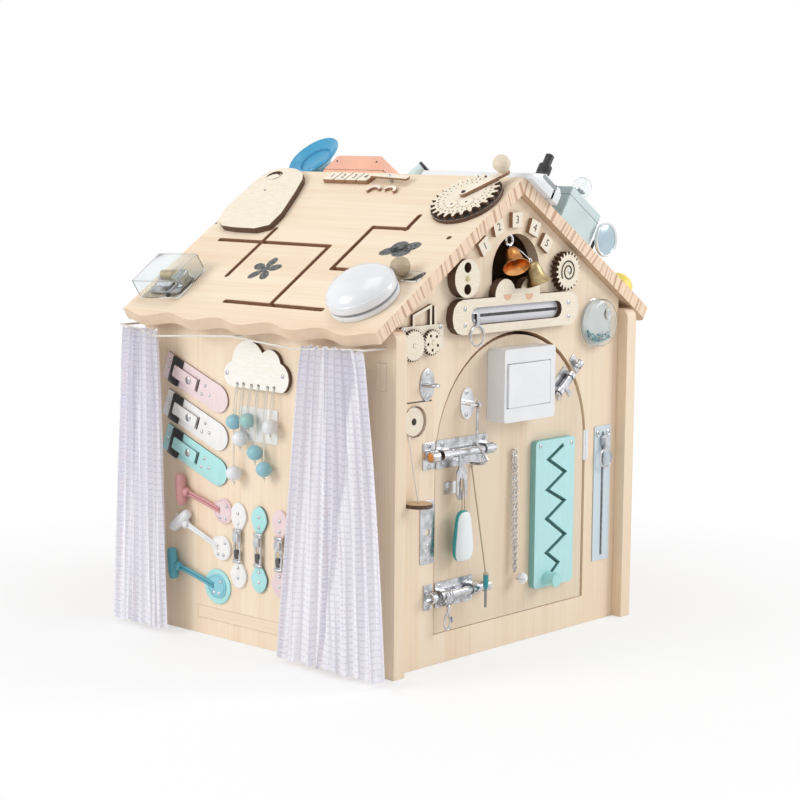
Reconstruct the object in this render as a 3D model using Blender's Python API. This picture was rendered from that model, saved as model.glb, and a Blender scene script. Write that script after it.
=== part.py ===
"""A wooden busy house: a toy house whose boards carry locks, bells, zips, straps and spinners.

Metres, +Z up. The origin is the centre of the base board's underside, which stands clear of
the ground on the feet of the walls. The gable with the arched door faces -Y, and the long
side with the curtains faces -X.
"""

from math import atan2, cos, hypot, pi, radians, sin, sqrt, tan

import bmesh
import bpy
from mathutils import Matrix, Vector

for item in list(bpy.data.objects):
    bpy.data.objects.remove(item, do_unlink=True)

# House boards
house_width = 0.447
house_depth = 0.420
wall_thickness = 0.018
panel_thickness = 0.015
floor_thickness = 0.015
floor_height = 0.020
tenon_length = 0.230
panel_tenon_height = 0.031
roof_thickness = 0.0155
roof_pitch = radians(33.3)
ridge_height = 0.5595
eave_overhang = 0.0370
roof_length = 0.423
roof_setback = 0.004
gable_recess = 0.0146
scallop_depth = 0.009
scallop_count = 5
seat_gap = 0.0003
overrun = 0.004

# Arched door and bell arch
door_width = 0.277
door_height = 0.338
door_foot = 0.0365
door_side_gap = 0.0008
door_hinge_gap = 0.005
door_top_gap = 0.004
arch_width = 0.088
arch_height = 0.070
hinge_length = 0.038
hinge_radius = 0.0022

# Barrel bolts
bolt_length = 0.090
bolt_width = 0.033
bolt_rod_radius = 0.0046
bolt_travel = 0.012
flap_length = 0.055
flap_width = 0.018
lower_bolt_length = 0.066
lower_bolt_width = 0.030
small_bolt_length = 0.034
small_bolt_width = 0.026
small_bolt_rod_radius = 0.0034
sheet_thickness = 0.0015
running_gap = 0.0006

# Gate hook, staple and wires
oval_width = 0.024
oval_height = 0.037
staple_reach = 0.017
staple_width = 0.014
wire_radius = 0.0018
hook_drop = 0.066
hook_flare = 0.018

# Doorbell switch
switch_width = 0.0947
switch_height = 0.086
switch_depth = 0.0265
rocker_width = 0.080
rocker_height = 0.051
rocker_thickness = 0.006
rocker_lift = 0.0025
rocker_gap = 0.0007

# Zigzag slide
zigzag_width = 0.076
zigzag_height = 0.181
zigzag_thickness = 0.0085
groove_width = 0.0048
slide_knob_radius = 0.0087
slide_knob_length = 0.016

# Bells
bell_radius = 0.0158
bell_height = 0.027
bell_wall = 0.0016
jingle_radius = 0.0072
chain_radius = 0.0022
chain_length = 0.150

# Gable boards and spinners
ply_thickness = 0.0105
thin_ply = 0.004
zip_width = 0.233
zip_height = 0.0405
zip_slot_margin = 0.0325
zip_slot_height = 0.0205
zip_floor = 0.003
ear_radius = 0.0185
ear_bridge = 0.008
slider_width = 0.011
slider_height = 0.013
slider_thickness = 0.004
ring_radius = 0.012
disc_radius = 0.0222
disc_thickness = 0.012
disc_hole_radius = 0.0062
disc_hole_spread = 0.0125
disc_roof_gap = 0.001732
disc_lift = 0.002
spiral_radius = 0.0235
spiral_teeth = 22
spiral_roof_gap = 0.007481
spiral_lift = 0.0008
drum_radius = 0.030
drum_depth = 0.014
gear_teeth = 30
pinion_teeth = 24
gear_board_height = 0.030
gear_board_gap = 0.0085
board_wall_gap = 0.0005
face_wheel_radius = 0.0165
face_wheel_bore = 0.003
pull_disc_radius = 0.0158
pull_disc_thickness = 0.0045
pull_string_length = 0.074
string_radius = 0.0009
bob_height = 0.060
bob_width = 0.031
bob_depth = 0.017
bob_string_length = 0.036
pointer_string_length = 0.128
pointer_handle_length = 0.017
pointer_tip_length = 0.024
pointer_radius = 0.0032
side_zip_width = 0.033
side_zip_height = 0.171

# Left wall pieces
cloud_width = 0.111
cloud_thickness = 0.006
cloud_points = 90
bead_radius = 0.0095
bead_stand = 0.012
strap_length = 0.118
strap_width = 0.030
strap_sheet = 0.0025
tongue_length = 0.056
tongue_width = 0.014
curtain_fold_depth = 0.009
curtain_thickness = 0.0012
curtain_hem_height = 0.005
cord_radius = 0.0011
cord_inset = 0.004
cord_sag = 0.0096

# Roof pieces
spinner_radius = 0.050
spinner_thickness = 0.010
crank_length = 0.054
crank_width = 0.011
crank_thickness = 0.004
knob_radius = 0.010
lamp_radius = 0.042
lamp_band = 0.012
lamp_dome = 0.014
lamp_base_height = 0.006
lamp_travel = 0.003
music_length = 0.066
music_width = 0.058
music_height = 0.026
slot_width = 0.007
slot_depth = 0.009
horn_radius = 0.037
horn_throat = 0.012
slab_length = 0.105
slab_width = 0.070
slab_height = 0.034
box_length = 0.070
box_width = 0.080
box_height = 0.047
mirror_radius = 0.0215
mirror_thickness = 0.004
mirror_height = 0.0250
mirror_stem = 0.0062
arm_radius = 0.002
arm_reach = 0.007

# Worked out from the sizes above
zip_centre_share = -0.018
gear_reach_share = 0.8775
half_width = house_width / 2
eave_reach = half_width + eave_overhang
half_depth = house_depth / 2
inner_half = half_width - wall_thickness
gable_y = -half_depth + gable_recess
roof_front = -half_depth + roof_setback
roof_middle = roof_front + roof_length / 2
pitch_rise = tan(roof_pitch)
ridge_level = ridge_height - floor_height
roof_drop = roof_thickness / cos(roof_pitch)
slope_length = eave_reach / cos(roof_pitch)
curtain_stand = eave_overhang - cord_inset
zip_across = zip_centre_share * house_width
zip_slot_length = zip_width - 2 * zip_slot_margin
zip_left = zip_across - zip_width / 2
zip_right = zip_across + zip_width / 2
gear_board_length = zip_left - gear_board_gap + inner_half - board_wall_gap
gear_module = gear_board_length * gear_reach_share / (gear_teeth + pinion_teeth)


def roof_under(x):
    return ridge_height - roof_drop - abs(x) * pitch_rise


def under_roof(up, clear):
    """How far from the middle a centre at that height stays clear of the roof's underside."""
    return (roof_under(0) - up - clear / cos(roof_pitch)) / pitch_rise


wall_height = roof_under(half_width)


def colour(name, rgb, roughness=0.6, metallic=0.0):
    made = bpy.data.materials.new(name)
    made.use_nodes = True
    shader = made.node_tree.nodes["Principled BSDF"]
    shader.inputs["Base Color"].default_value = (*rgb, 1.0)
    shader.inputs["Roughness"].default_value = roughness
    shader.inputs["Metallic"].default_value = metallic
    return made


pine = colour("pine", (0.84, 0.64, 0.42))
plywood = colour("plywood", (0.88, 0.76, 0.58))
steel = colour("steel", (0.75, 0.76, 0.78), 0.25, 1.0)
copper = colour("copper", (0.80, 0.42, 0.18), 0.3, 1.0)
brass = colour("brass", (0.60, 0.50, 0.26), 0.35, 1.0)
white = colour("white", (0.90, 0.91, 0.92), 0.4)
mint = colour("mint", (0.48, 0.80, 0.76), 0.5)
pink = colour("pink", (0.90, 0.66, 0.66), 0.5)
blue = colour("blue", (0.10, 0.42, 0.66), 0.35)
pale_blue = colour("pale_blue", (0.56, 0.76, 0.84), 0.5)
peach = colour("peach", (0.94, 0.47, 0.34), 0.45)
grey_blue = colour("grey_blue", (0.52, 0.66, 0.70), 0.4)
clear = colour("clear", (0.85, 0.88, 0.90), 0.1)
teal = colour("teal", (0.05, 0.40, 0.42), 0.5)
cloth = colour("cloth", (0.86, 0.85, 0.90), 0.9)


def board_frame(name, place, right, up):
    """An empty on a board: +X to the viewer's right, +Y up the board, +Z out of it."""
    frame = bpy.data.objects.new(name, None)
    bpy.context.collection.objects.link(frame)
    right = Vector(right)
    up = Vector(up)
    turn = Matrix((right, up, right.cross(up))).transposed()
    frame.matrix_world = Matrix.Translation(place) @ turn.to_4x4()
    return frame


slope = (cos(roof_pitch), 0, sin(roof_pitch))
gable = board_frame("gable_face", (0, gable_y, -floor_height), (1, 0, 0), (0, 0, 1))
left_side = board_frame("left_side_face", (-half_width, 0, -floor_height), (0, -1, 0), (0, 0, 1))
left_slope = board_frame("left_slope_face", (0, roof_middle, ridge_level), (0, -1, 0), slope)
right_slope = board_frame(
    "right_slope_face", (0, roof_middle, ridge_level), (0, 1, 0), (-slope[0], 0, slope[2])
)


def finish(name, form, material):
    bmesh.ops.recalc_face_normals(form, faces=form.faces)
    mesh = bpy.data.meshes.new(name)
    form.to_mesh(mesh)
    form.free()
    mesh.shade_smooth()
    mesh.set_sharp_from_angle(angle=radians(35))
    made = bpy.data.objects.new(name, mesh)
    made.data.materials.append(material)
    bpy.context.collection.objects.link(made)
    return made


def seat(made, frame, across=0, up=0, out=0, turn=0):
    """Puts an object on a board's frame, turned about the frame's outward axis."""
    made.parent = frame
    made.location = (across, up, out)
    made.rotation_euler = (0, 0, turn)
    return made


def arc(centre_x, centre_y, radius, start, end, steps):
    angles = [start + (end - start) * i / steps for i in range(steps + 1)]
    return [(centre_x + radius * cos(a), centre_y + radius * sin(a)) for a in angles]


def ring_points(radius, sides):
    return [(radius * cos(2 * pi * i / sides), radius * sin(2 * pi * i / sides)) for i in range(sides)]


def oval(width, height, sides=20):
    return [(x * width / 2, y * height / 2) for x, y in ring_points(1, sides)]


def rounded(width, height, radius, steps=3):
    radius = min(radius, width / 2 - seat_gap, height / 2 - seat_gap)
    x = width / 2 - radius
    y = height / 2 - radius
    corners = ((x, y, 0), (-x, y, pi / 2), (-x, -y, pi), (x, -y, 3 * pi / 2))
    return [p for cx, cy, a in corners for p in arc(cx, cy, radius, a, a + pi / 2, steps)]


def prism(name, outline, low, high, material):
    """A flat board of any outline, from local Z low to high."""
    form = bmesh.new()
    bottom = [form.verts.new((x, y, low)) for x, y in outline]
    top = [form.verts.new((x, y, high)) for x, y in outline]
    form.faces.new(list(reversed(bottom)))
    form.faces.new(top)
    for i in range(len(outline)):
        j = (i + 1) % len(outline)
        form.faces.new((bottom[i], bottom[j], top[j], top[i]))
    return finish(name, form, material)


def turned(name, profile, sides, material):
    """A turned solid about local Z from a profile of radius and height, axis to axis or closed."""
    form = bmesh.new()
    rows = []
    for radius, height in profile:
        if radius == 0:
            rows.append([form.verts.new((0, 0, height))])
        else:
            rows.append([form.verts.new((x, y, height)) for x, y in ring_points(radius, sides)])
    pairs = list(zip(rows, rows[1:]))
    if profile[0][0] > 0:
        pairs.append((rows[-1], rows[0]))
    for lower, upper in pairs:
        for i in range(sides):
            j = (i + 1) % sides
            corners = [lower[i % len(lower)], lower[j % len(lower)], upper[j % len(upper)], upper[i % len(upper)]]
            form.faces.new(list(dict.fromkeys(corners)))
    return finish(name, form, material)


def rod(name, radius, low, high, material, sides=14):
    return prism(name, ring_points(radius, sides), low, high, material)


def ball(name, radius, material, sides=12, rings=6):
    angles = [-pi / 2 + pi * i / rings for i in range(rings + 1)]
    profile = [(radius * cos(a) if 0 < i < rings else 0, radius * sin(a)) for i, a in enumerate(angles)]
    return turned(name, profile, sides, material)


def wire(name, points, radius, material, sides=8, ring=False):
    """A bent wire through the points, closed on itself when ring is set."""
    form = bmesh.new()
    path = [Vector(p) for p in points]
    count = len(path)
    rows = []
    side = None
    for i, point in enumerate(path):
        before = path[i - 1] if ring or i > 0 else point
        after = path[(i + 1) % count] if ring or i < count - 1 else point
        ahead = (after - before).normalized()
        if side is None:
            side = ahead.orthogonal().normalized()
        side = (side - ahead * side.dot(ahead)).normalized()
        other = ahead.cross(side)
        rows.append(
            [form.verts.new(point + radius * (x * side + y * other)) for x, y in ring_points(1, sides)]
        )
    pairs = list(zip(rows, rows[1:]))
    if ring:
        pairs.append((rows[-1], rows[0]))
    else:
        form.faces.new(list(reversed(rows[0])))
        form.faces.new(rows[-1])
    for lower, upper in pairs:
        for i in range(sides):
            j = (i + 1) % sides
            form.faces.new((lower[i], lower[j], upper[j], upper[i]))
    return finish(name, form, material)


def tool(made):
    made.hide_render = True
    made.display_type = "WIRE"
    return made


def combine(target, other, operation, place=(0, 0, 0), turn=(0, 0, 0)):
    """Cuts or joins a hidden shape, placed in the target's own coordinates."""
    tool(other)
    other.parent = target
    other.location = place
    other.rotation_euler = turn
    step = target.modifiers.new(other.name, "BOOLEAN")
    step.operation = operation
    step.object = other
    return target


def cut(target, other, place=(0, 0, 0), turn=(0, 0, 0)):
    return combine(target, other, "DIFFERENCE", place, turn)


def join(target, other, place=(0, 0, 0), turn=(0, 0, 0)):
    return combine(target, other, "UNION", place, turn)


def box(name, width, height, low, high, material, radius=0):
    if radius:
        return prism(name, rounded(width, height, radius), low, high, material)
    corners = [(-width / 2, -height / 2), (width / 2, -height / 2), (width / 2, height / 2), (-width / 2, height / 2)]
    return prism(name, corners, low, high, material)


# House boards
tenon_height_share = 0.610
corner_radius = 0.012
door_centre = -0.0015
arch_crown = 0.4935
slot_end_shares = (
    (-0.405, 0.492, 0.041, 0.492),
    (-0.228, 0.400, -0.228, 0.716),
    (0.045, 0.492, 0.045, 0.870),
    (-0.133, 0.870, 0.245, 0.870),
    (0.136, 0.357, 0.136, 0.627),
    (0.136, 0.627, 0.202, 0.627),
    (0.139, 0.358, 0.265, 0.358),
    (0.263, 0.362, 0.263, 0.272),
)
roof_hole_radius = 0.0035
roof_hole_shares = (0.440, 0.398)

tenon_height = tenon_height_share * ridge_height
panel_back = -half_depth + gable_recess + panel_thickness


def side_wall(name, frame, front):
    """A side wall with its mortises; front says which way the gable lies along local X."""
    top = wall_height - seat_gap
    outline = [(-front * half_depth, 0), (front * half_depth, 0)]
    start = 0 if front > 0 else pi
    outline += arc(
        front * (half_depth - corner_radius), top - corner_radius, corner_radius, start, pi / 2, 5
    )
    outline += [(-front * half_depth, top)]
    wall = prism(name, outline, -wall_thickness, 0, pine)
    seat(wall, frame)
    floor_slot = box(
        name + "_floor_slot",
        tenon_length + 2 * seat_gap,
        floor_thickness + 2 * seat_gap,
        -wall_thickness - overrun,
        overrun,
        pine,
    )
    cut(wall, floor_slot, (0, floor_height + floor_thickness / 2, 0))
    for end in (-1, 1):
        panel_slot = box(
            f"{name}_panel_slot_{end}",
            panel_thickness + 2 * seat_gap,
            panel_tenon_height + 2 * seat_gap,
            -wall_thickness - overrun,
            overrun,
            pine,
        )
        cut(wall, panel_slot, (end * (-panel_back - panel_thickness / 2 + panel_thickness), tenon_height, 0))
    return wall


def arched(width, foot, top, centre, steps=24):
    """A doorway outline with a half-round head."""
    radius = width / 2
    return [(centre - radius, foot), (centre + radius, foot)] + arc(
        centre, top - radius, radius, 0, pi, steps
    )


def end_panel(name, frame):
    inner = inner_half - seat_gap
    outline = [(-inner, 0), (inner, 0)]
    low = tenon_height - panel_tenon_height / 2
    high = low + panel_tenon_height
    outline += [(inner, low), (half_width, low), (half_width, high), (inner, high)]
    outline += [(inner, roof_under(inner) - seat_gap), (0, roof_under(0) - seat_gap)]
    outline += [(-inner, roof_under(inner) - seat_gap)]
    outline += [(-inner, high), (-half_width, high), (-half_width, low), (-inner, low)]
    return seat(prism(name, outline, -panel_thickness, 0, pine), frame)


def house():
    right_side = board_frame("right_side_face", (half_width, 0, -floor_height), (0, 1, 0), (0, 0, 1))
    back = board_frame("back_face", (0, half_depth - gable_recess, -floor_height), (-1, 0, 0), (0, 0, 1))
    side_wall("left_wall", left_side, 1)
    side_wall("right_wall", right_side, -1)
    end_panel("back_panel", back)
    front = end_panel("front_panel", gable)
    opening_width = door_width + door_side_gap + door_hinge_gap
    doorway = arched(
        opening_width,
        door_foot - door_side_gap,
        door_foot + door_height + door_top_gap,
        door_centre + (door_hinge_gap - door_side_gap) / 2,
        32,
    )
    cut(front, prism("doorway", doorway, -panel_thickness - overrun, overrun, pine))
    arch = arched(arch_width, arch_crown - arch_height, arch_crown, 0)
    cut(front, prism("bell_arch", arch, -panel_thickness - overrun, overrun, pine))

    deep = -panel_back - seat_gap
    wide = inner_half - seat_gap
    tenon = tenon_length / 2
    corners = [(wide, -deep), (wide, -tenon), (half_width, -tenon), (half_width, tenon), (wide, tenon), (wide, deep)]
    outline = corners + [(-x, -y) for x, y in corners]
    prism("base_board", outline, 0, floor_thickness, pine)


def eave_edge():
    """The waved lower edge of the left roof board, from back to front."""
    steps = 10 * scallop_count
    wave = []
    for i in range(1, steps):
        hollow = 0.5 + 0.5 * cos(2 * pi * scallop_count * i / steps)
        wave.append((roof_length * (i / steps - 0.5), -slope_length + scallop_depth * hollow))
    return wave


def plumb_cut(roof):
    """Trims the ridge edge to a vertical plane, so that the two boards meet."""
    trim = box("ridge_trim_" + roof.name, roof_length + overrun, roof_thickness * 2, -roof_thickness * 3, roof_thickness, pine)
    cut(roof, trim, (0, (roof_thickness - seat_gap / 2) * cos(roof_pitch), -roof_thickness * sin(roof_pitch)), (-roof_pitch, 0, 0))


def roofs():
    half = roof_length / 2
    top = roof_thickness
    outline = [(half, -slope_length + scallop_depth)]
    outline += [(half, top), (-half, top), (-half, -slope_length + scallop_depth)]
    outline += eave_edge()
    left = seat(prism("left_roof", outline, -roof_thickness, 0, pine), left_slope)
    for number, (x1, y1, x2, y2) in enumerate(slot_end_shares, 1):
        start = Vector((x1 * roof_length, -y1 * slope_length))
        end = Vector((x2 * roof_length, -y2 * slope_length))
        run = end - start
        groove = box(
            f"maze_slot_{number}", run.length + slot_width, slot_width, -slot_depth, overrun, pine, slot_width / 2
        )
        middle = (start + end) / 2
        cut(left, groove, (middle.x, middle.y, 0), (0, 0, atan2(run.y, run.x)))
    hole = rod("roof_hole", roof_hole_radius, -slot_depth, overrun, pine, 12)
    cut(left, hole, (roof_hole_shares[0] * roof_length, -roof_hole_shares[1] * slope_length, 0))
    plumb_cut(left)

    outline = rounded(roof_length, slope_length + top, corner_radius)
    outline = [(x, y - (slope_length - top) / 2) for x, y in outline]
    right = seat(prism("right_roof", outline, -roof_thickness, 0, pine), right_slope)
    plumb_cut(right)


house()
roofs()


# Front door, its hinge and what is fixed to it
hinge_height_share = 0.407
hook_shares = (-0.193, 0.537)
staple_shares = (-0.250, 0.366)
switch_shares = (-0.005, 0.569)
rocker_shift_share = 0.02
bolt_shares = (-0.212, 0.439)
flap_eye_share = 0.66
lower_bolt_shares = (-0.238, 0.146)
corner_bolt_shares = (0.203, 0.552)
corner_bolt_turn = radians(39)
zigzag_shares = (0.161, 0.273)
zigzag_knee_shares = (
    (0.207, 0.4525),
    (-0.178, 0.367),
    (0.255, 0.265),
    (-0.195, 0.162),
    (0.251, 0.068),
    (-0.199, -0.035),
    (0.280, -0.166),
    (-0.190, -0.268),
    (0.120, -0.352),
    (-0.190, -0.450),
)
chain_shares = (-0.003, 0.424)
pointer_shares = (-0.174, 0.404)
hook_path_shares = (
    (-0.065, 0.0),
    (-0.45, -0.02),
    (-0.70, 0.0),
    (-0.86, 0.62),
    (-0.95, 0.85),
    (-1.02, 0.62),
    (-1.05, 0.0),
    (-1.05, -0.55),
)
door_right = door_centre + door_width / 2
hinge_across = door_right + door_hinge_gap / 2
door_axis = bpy.data.objects.new("door_axis", None)
door_face = bpy.data.objects.new("door_face", None)
for empty in (door_axis, door_face):
    bpy.context.collection.objects.link(empty)
seat(door_axis, gable, hinge_across)
seat(door_face, door_axis, -hinge_across)


def gable_place(shares):
    return shares[0] * house_width, shares[1] * ridge_height


def strip(points, width):
    """The outline of a bent strip of one width along the points, with mitred corners."""
    path = [Vector(p) for p in points]
    left = []
    right = []
    for i, point in enumerate(path):
        ahead = (path[min(i + 1, len(path) - 1)] - point).normalized()
        behind = (point - path[max(i - 1, 0)]).normalized()
        if i == 0:
            behind = ahead
        if i == len(path) - 1:
            ahead = behind
        mean = (ahead + behind).normalized()
        reach = width / 2 / max(mean.dot(ahead), 0.5)
        side = Vector((-mean.y, mean.x)) * reach
        left.append(tuple(point + side))
        right.append(tuple(point - side))
    return right + list(reversed(left))


def staple(target, width, reach, place, material, upright=False):
    """A U of wire standing out of a plate, its arms side by side or one above the other."""
    bend = width / 2
    points = [(-bend, 0, -sheet_thickness / 2), (-bend, 0, reach - bend)]
    points += [(-bend * cos(pi * i / 8), 0, reach - bend + bend * sin(pi * i / 8)) for i in range(1, 8)]
    points += [(bend, 0, reach - bend), (bend, 0, -sheet_thickness / 2)]
    bent = wire(target.name + "_staple_wire", points, wire_radius, material)
    return join(target, bent, place, (0, 0, pi / 2 if upright else 0))


def front_door():
    outline = arched(door_width, door_foot, door_foot + door_height, door_centre, 32)
    door = prism("front_door", outline, -panel_thickness, 0, pine)
    seat(door, door_face)
    across, up = gable_place(hook_shares)
    plate = prism("hook_oval", oval(oval_width, oval_height), -sheet_thickness, sheet_thickness, steel)
    join(door, plate, (across, up, 0))
    staple(door, staple_width, staple_reach, (across, up, 0), steel)
    across, up = gable_place(staple_shares)
    plate = box("hasp_plate", staple_width * 2, staple_width, -sheet_thickness, sheet_thickness, steel)
    join(door, plate, (across, up, 0))
    return door


def bell_hook(panel):
    """The ring screwed into the crown of the bell arch."""
    top = arch_crown + wire_radius * 2
    points = [(0, top, 0), (0, arch_crown - wire_radius, 0)]
    points += [
        (hook_loop * sin(2 * pi * i / 12), arch_crown - wire_radius - hook_loop + hook_loop * cos(2 * pi * i / 12), 0)
        for i in range(1, 11)
    ]
    ring = wire("bell_hook_wire", points, wire_radius, steel, 6)
    join(panel, ring, (bell_hook_across, 0, -panel_thickness / 2))


def door_hinge(panel):
    """The knuckle that fills the gap at the door's hinge side, with its leaf in the panel."""
    middle = hinge_height_share * ridge_height
    knuckle = rod("hinge_knuckle", hinge_radius, -hinge_length / 2, hinge_length / 2, steel, 12)
    join(panel, knuckle, (hinge_across, middle, 0), (-pi / 2, 0, 0))
    leaf = box("hinge_leaf", hinge_radius * 3, hinge_length, -sheet_thickness, sheet_thickness / 2, steel)
    join(panel, leaf, (hinge_across + hinge_radius * 2, middle, 0))


def grip_place(length, width):
    """Where a grip on a bolt's rod has the bolt's travel free before it meets the saddle."""
    return bolt_travel + width / 2 + running_gap - length * (0.5 - saddle_share)


def barrel_bolt(name, frame, across, up, turn, length, width, radius, tail):
    """A plate with two bored saddles and the rod that slides in them along local -X."""
    height = sheet_thickness + running_gap + radius + sheet_thickness
    outer = radius + running_gap + sheet_thickness
    plate = box(name + "_plate", length, width, seat_gap, sheet_thickness, steel, sheet_thickness)
    seat(plate, frame, across, up, 0, turn)
    saddle_length = length * saddle_share
    for end in (-1, 1):
        block = box(f"{name}_saddle_{end}", saddle_length, outer * 2, sheet_thickness / 2, height, steel)
        middle = end * (length - saddle_length) / 2
        join(plate, block, (middle, 0, 0))
        crown = rod(f"{name}_crown_{end}", outer, -saddle_length / 2, saddle_length / 2, steel)
        join(plate, crown, (middle, 0, height), (0, pi / 2, 0))
    bore = rod(name + "_bore", radius + running_gap, -length, length, steel)
    cut(plate, bore, (0, 0, height), (0, pi / 2, 0))
    slide = rod(name + "_rod", radius, -length / 2, length / 2 + tail, steel)
    slide.data.transform(Matrix.Rotation(pi / 2, 4, "Y"))
    seat(slide, frame, across, up, height, turn)
    return slide


def bolts():
    across, up = gable_place(bolt_shares)
    slide = barrel_bolt(
        "bolt", door_face, across, up, 0, bolt_length, bolt_width, bolt_rod_radius, bolt_rod_radius
    )
    neck = flap_width * 0.55
    outline = [(-neck / 2, 0), (-neck / 2, -flap_length * 0.28), (-flap_width / 2, -flap_length * 0.42)]
    outline += arc(0, -flap_length + flap_width / 2, flap_width / 2, pi, 2 * pi, 8)
    outline += [(flap_width / 2, -flap_length * 0.42), (neck / 2, -flap_length * 0.28), (neck / 2, 0)]
    flap = prism("bolt_flap", outline, bolt_rod_radius - sheet_thickness, bolt_rod_radius + seat_gap, white)
    eye = box("flap_eye", wire_radius * 2.2, flap_length * 0.24, 0, bolt_rod_radius * 2, white, wire_radius)
    eye_across = grip_place(bolt_length, neck)
    join(slide, flap, (eye_across, 0, 0))
    eye_up = -flap_length * flap_eye_share
    cut(slide, eye, (eye_across, eye_up, 0))
    bob(slide, eye_across, eye_up + flap_length * 0.12, bolt_rod_radius + seat_gap)

    across, up = gable_place(lower_bolt_shares)
    tail = bolt_travel + running_gap
    slide = barrel_bolt(
        "lower_bolt",
        door_face,
        across,
        up,
        0,
        lower_bolt_length,
        lower_bolt_width,
        bolt_rod_radius,
        tail + bolt_rod_radius,
    )
    cap = rod("lower_bolt_cap", bolt_rod_radius * 1.35, 0, bolt_rod_radius * 2, steel)
    join(slide, cap, (lower_bolt_length / 2 + tail, 0, 0), (0, pi / 2, 0))

    across, up = gable_place(corner_bolt_shares)
    slide = barrel_bolt(
        "corner_bolt",
        door_face,
        across,
        up,
        corner_bolt_turn + pi,
        small_bolt_length,
        small_bolt_width,
        small_bolt_rod_radius,
        small_bolt_rod_radius,
    )
    grip_width = small_bolt_rod_radius * 1.6
    grip = box("corner_bolt_grip", grip_width, small_bolt_width * 0.62, 0, small_bolt_rod_radius, steel)
    join(slide, grip, (grip_place(small_bolt_length, grip_width), small_bolt_width * 0.31, 0))


def gate_hook():
    across, up = gable_place(hook_shares)
    loop = wire_radius * 1.85 + seat_gap
    ring = [(0, loop * sin(2 * pi * i / 14), loop * cos(2 * pi * i / 14)) for i in range(14)]
    eye = wire("gate_hook", ring, wire_radius * 0.85, steel, 6, True)
    path = [(0, y * hook_drop, z * hook_flare) for y, z in hook_path_shares]
    shank = wire("gate_hook_shank", path, wire_radius * 0.95, steel, 8)
    seat(eye, door_face, across, up, staple_reach)
    join(eye, shank)


def doorbell():
    across, up = gable_place(switch_shares)
    plate = box("doorbell_box", switch_width, switch_height, seat_gap, switch_depth, white, wire_radius * 2)
    seat(plate, door_face, across, up)
    shift = -rocker_shift_share * switch_width
    pocket = box(
        "rocker_pocket",
        rocker_width + 2 * rocker_gap,
        rocker_height + 2 * rocker_gap,
        switch_depth - rocker_thickness - rocker_lift * 2,
        switch_depth + overrun,
        white,
    )
    cut(plate, pocket, (shift, 0, 0))
    rocker = box("doorbell_rocker", rocker_width, rocker_height, -rocker_thickness, 0, white, wire_radius)
    rocker.data.transform(Matrix.Translation((-rocker_width / 2, 0, 0)))
    seat(rocker, door_face, across + shift + rocker_width / 2, up, switch_depth)
    rocker.rotation_euler = (0, rocker_lift / rocker_width, 0)


def zigzag():
    across, up = gable_place(zigzag_shares)
    board = box("zigzag_board", zigzag_width, zigzag_height, seat_gap, zigzag_thickness, mint, wire_radius * 3)
    seat(board, door_face, across, up)
    knees = [(x * zigzag_width, y * zigzag_height) for x, y in zigzag_knee_shares]
    groove = prism(
        "zigzag_groove", strip(knees, groove_width), zigzag_thickness / 3, zigzag_thickness + overrun, mint
    )
    cut(board, groove)
    stem_radius = groove_width / 2 - running_gap
    knob = rod("zigzag_knob", slide_knob_radius, zigzag_thickness + seat_gap, zigzag_thickness + slide_knob_length, mint, 20)
    stem = rod("zigzag_stem", stem_radius, zigzag_thickness / 3 + seat_gap, zigzag_thickness + overrun, mint, 10)
    join(knob, stem)
    start = Vector(knees[-1])
    step = (Vector(knees[-2]) - start).normalized() * (stem_radius + seat_gap)
    seat(knob, door_face, across + start.x + step.x, up + start.y + step.y)


def hanging(name, frame, place, foot, radius, knot, material):
    """A cord with a knot against its carrier; its origin is the knot's centre."""
    across, up, out = place
    held = ball(name, knot, material, 8, 4)
    seat(held, frame, across, up, out + knot + seat_gap)
    run = Vector(foot) - Vector((0, 0, out + knot + seat_gap))
    join(held, wire(name + "_cord", [run * (knot / run.length / 2), run], radius, material, 6))
    return held, run


def door_hangings():
    across, up = gable_place(chain_shares)
    foot = (chain_length * chain_lean_share, -chain_length, jingle_radius + chain_radius)
    chain, run = hanging("chain_bell", door_face, (across, up, 0), foot, chain_radius, chain_radius * 1.4, steel)
    join(chain, ball("jingle_bell", jingle_radius, steel), run * (1 + jingle_radius * 0.8 / run.length))

    across, up = gable_place(pointer_shares)
    knot = string_radius * 2
    foot = (pointer_string_length * pointer_lean_share, -pointer_string_length, pointer_stand)
    pointer, run = hanging("pointer", door_face, (across, up, 0), foot, string_radius, knot, cloth)
    handle = rod("pointer_handle", pointer_radius, 0, pointer_handle_length, teal, 10)
    join(pointer, handle, run + Vector((0, pointer_radius, 0)), (pi / 2, 0, 0))
    tip = rod("pointer_tip", pointer_radius / 2, -pointer_radius, pointer_tip_length, steel, 8)
    join(pointer, tip, run + Vector((0, pointer_radius - pointer_handle_length, 0)), (pi / 2, 0, 0))


def bob(carrier, across, up, out):
    """The charm that hangs by its cord from the eye of the bolt's flap."""
    knot = string_radius * 2.4
    foot = (0, -bob_string_length - bob_height / 3, out + bob_depth / 6)
    cords, run = hanging("bob", carrier, (across, up, out), foot, string_radius * 1.6, knot, teal)
    shape = turned(
        "bob_body",
        [(0, 0)] + [(r * bob_width / 2, h * bob_height) for r, h in bob_profile_shares] + [(0, bob_height)],
        16,
        teal,
    )
    shape.data.transform(Matrix.Diagonal((1, bob_depth / bob_width, 1, 1)))
    join(cords, shape, (0, -bob_string_length, run.z), (pi / 2, 0, 0))


bell_hook_across = -0.004
hook_loop = 0.006
saddle_share = 0.16
chain_lean_share = 0.05
pointer_lean_share = 0.05
pointer_stand = 0.0205
bob_profile_shares = ((0.62, 0.03), (0.86, 0.14), (0.82, 0.38), (0.92, 0.62), (1.0, 0.80), (0.80, 0.95))

front_door()
bell_hook(bpy.data.objects["front_panel"])
door_hinge(bpy.data.objects["front_panel"])
bolts()
gate_hook()
doorbell()
zigzag()
door_hangings()


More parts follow.
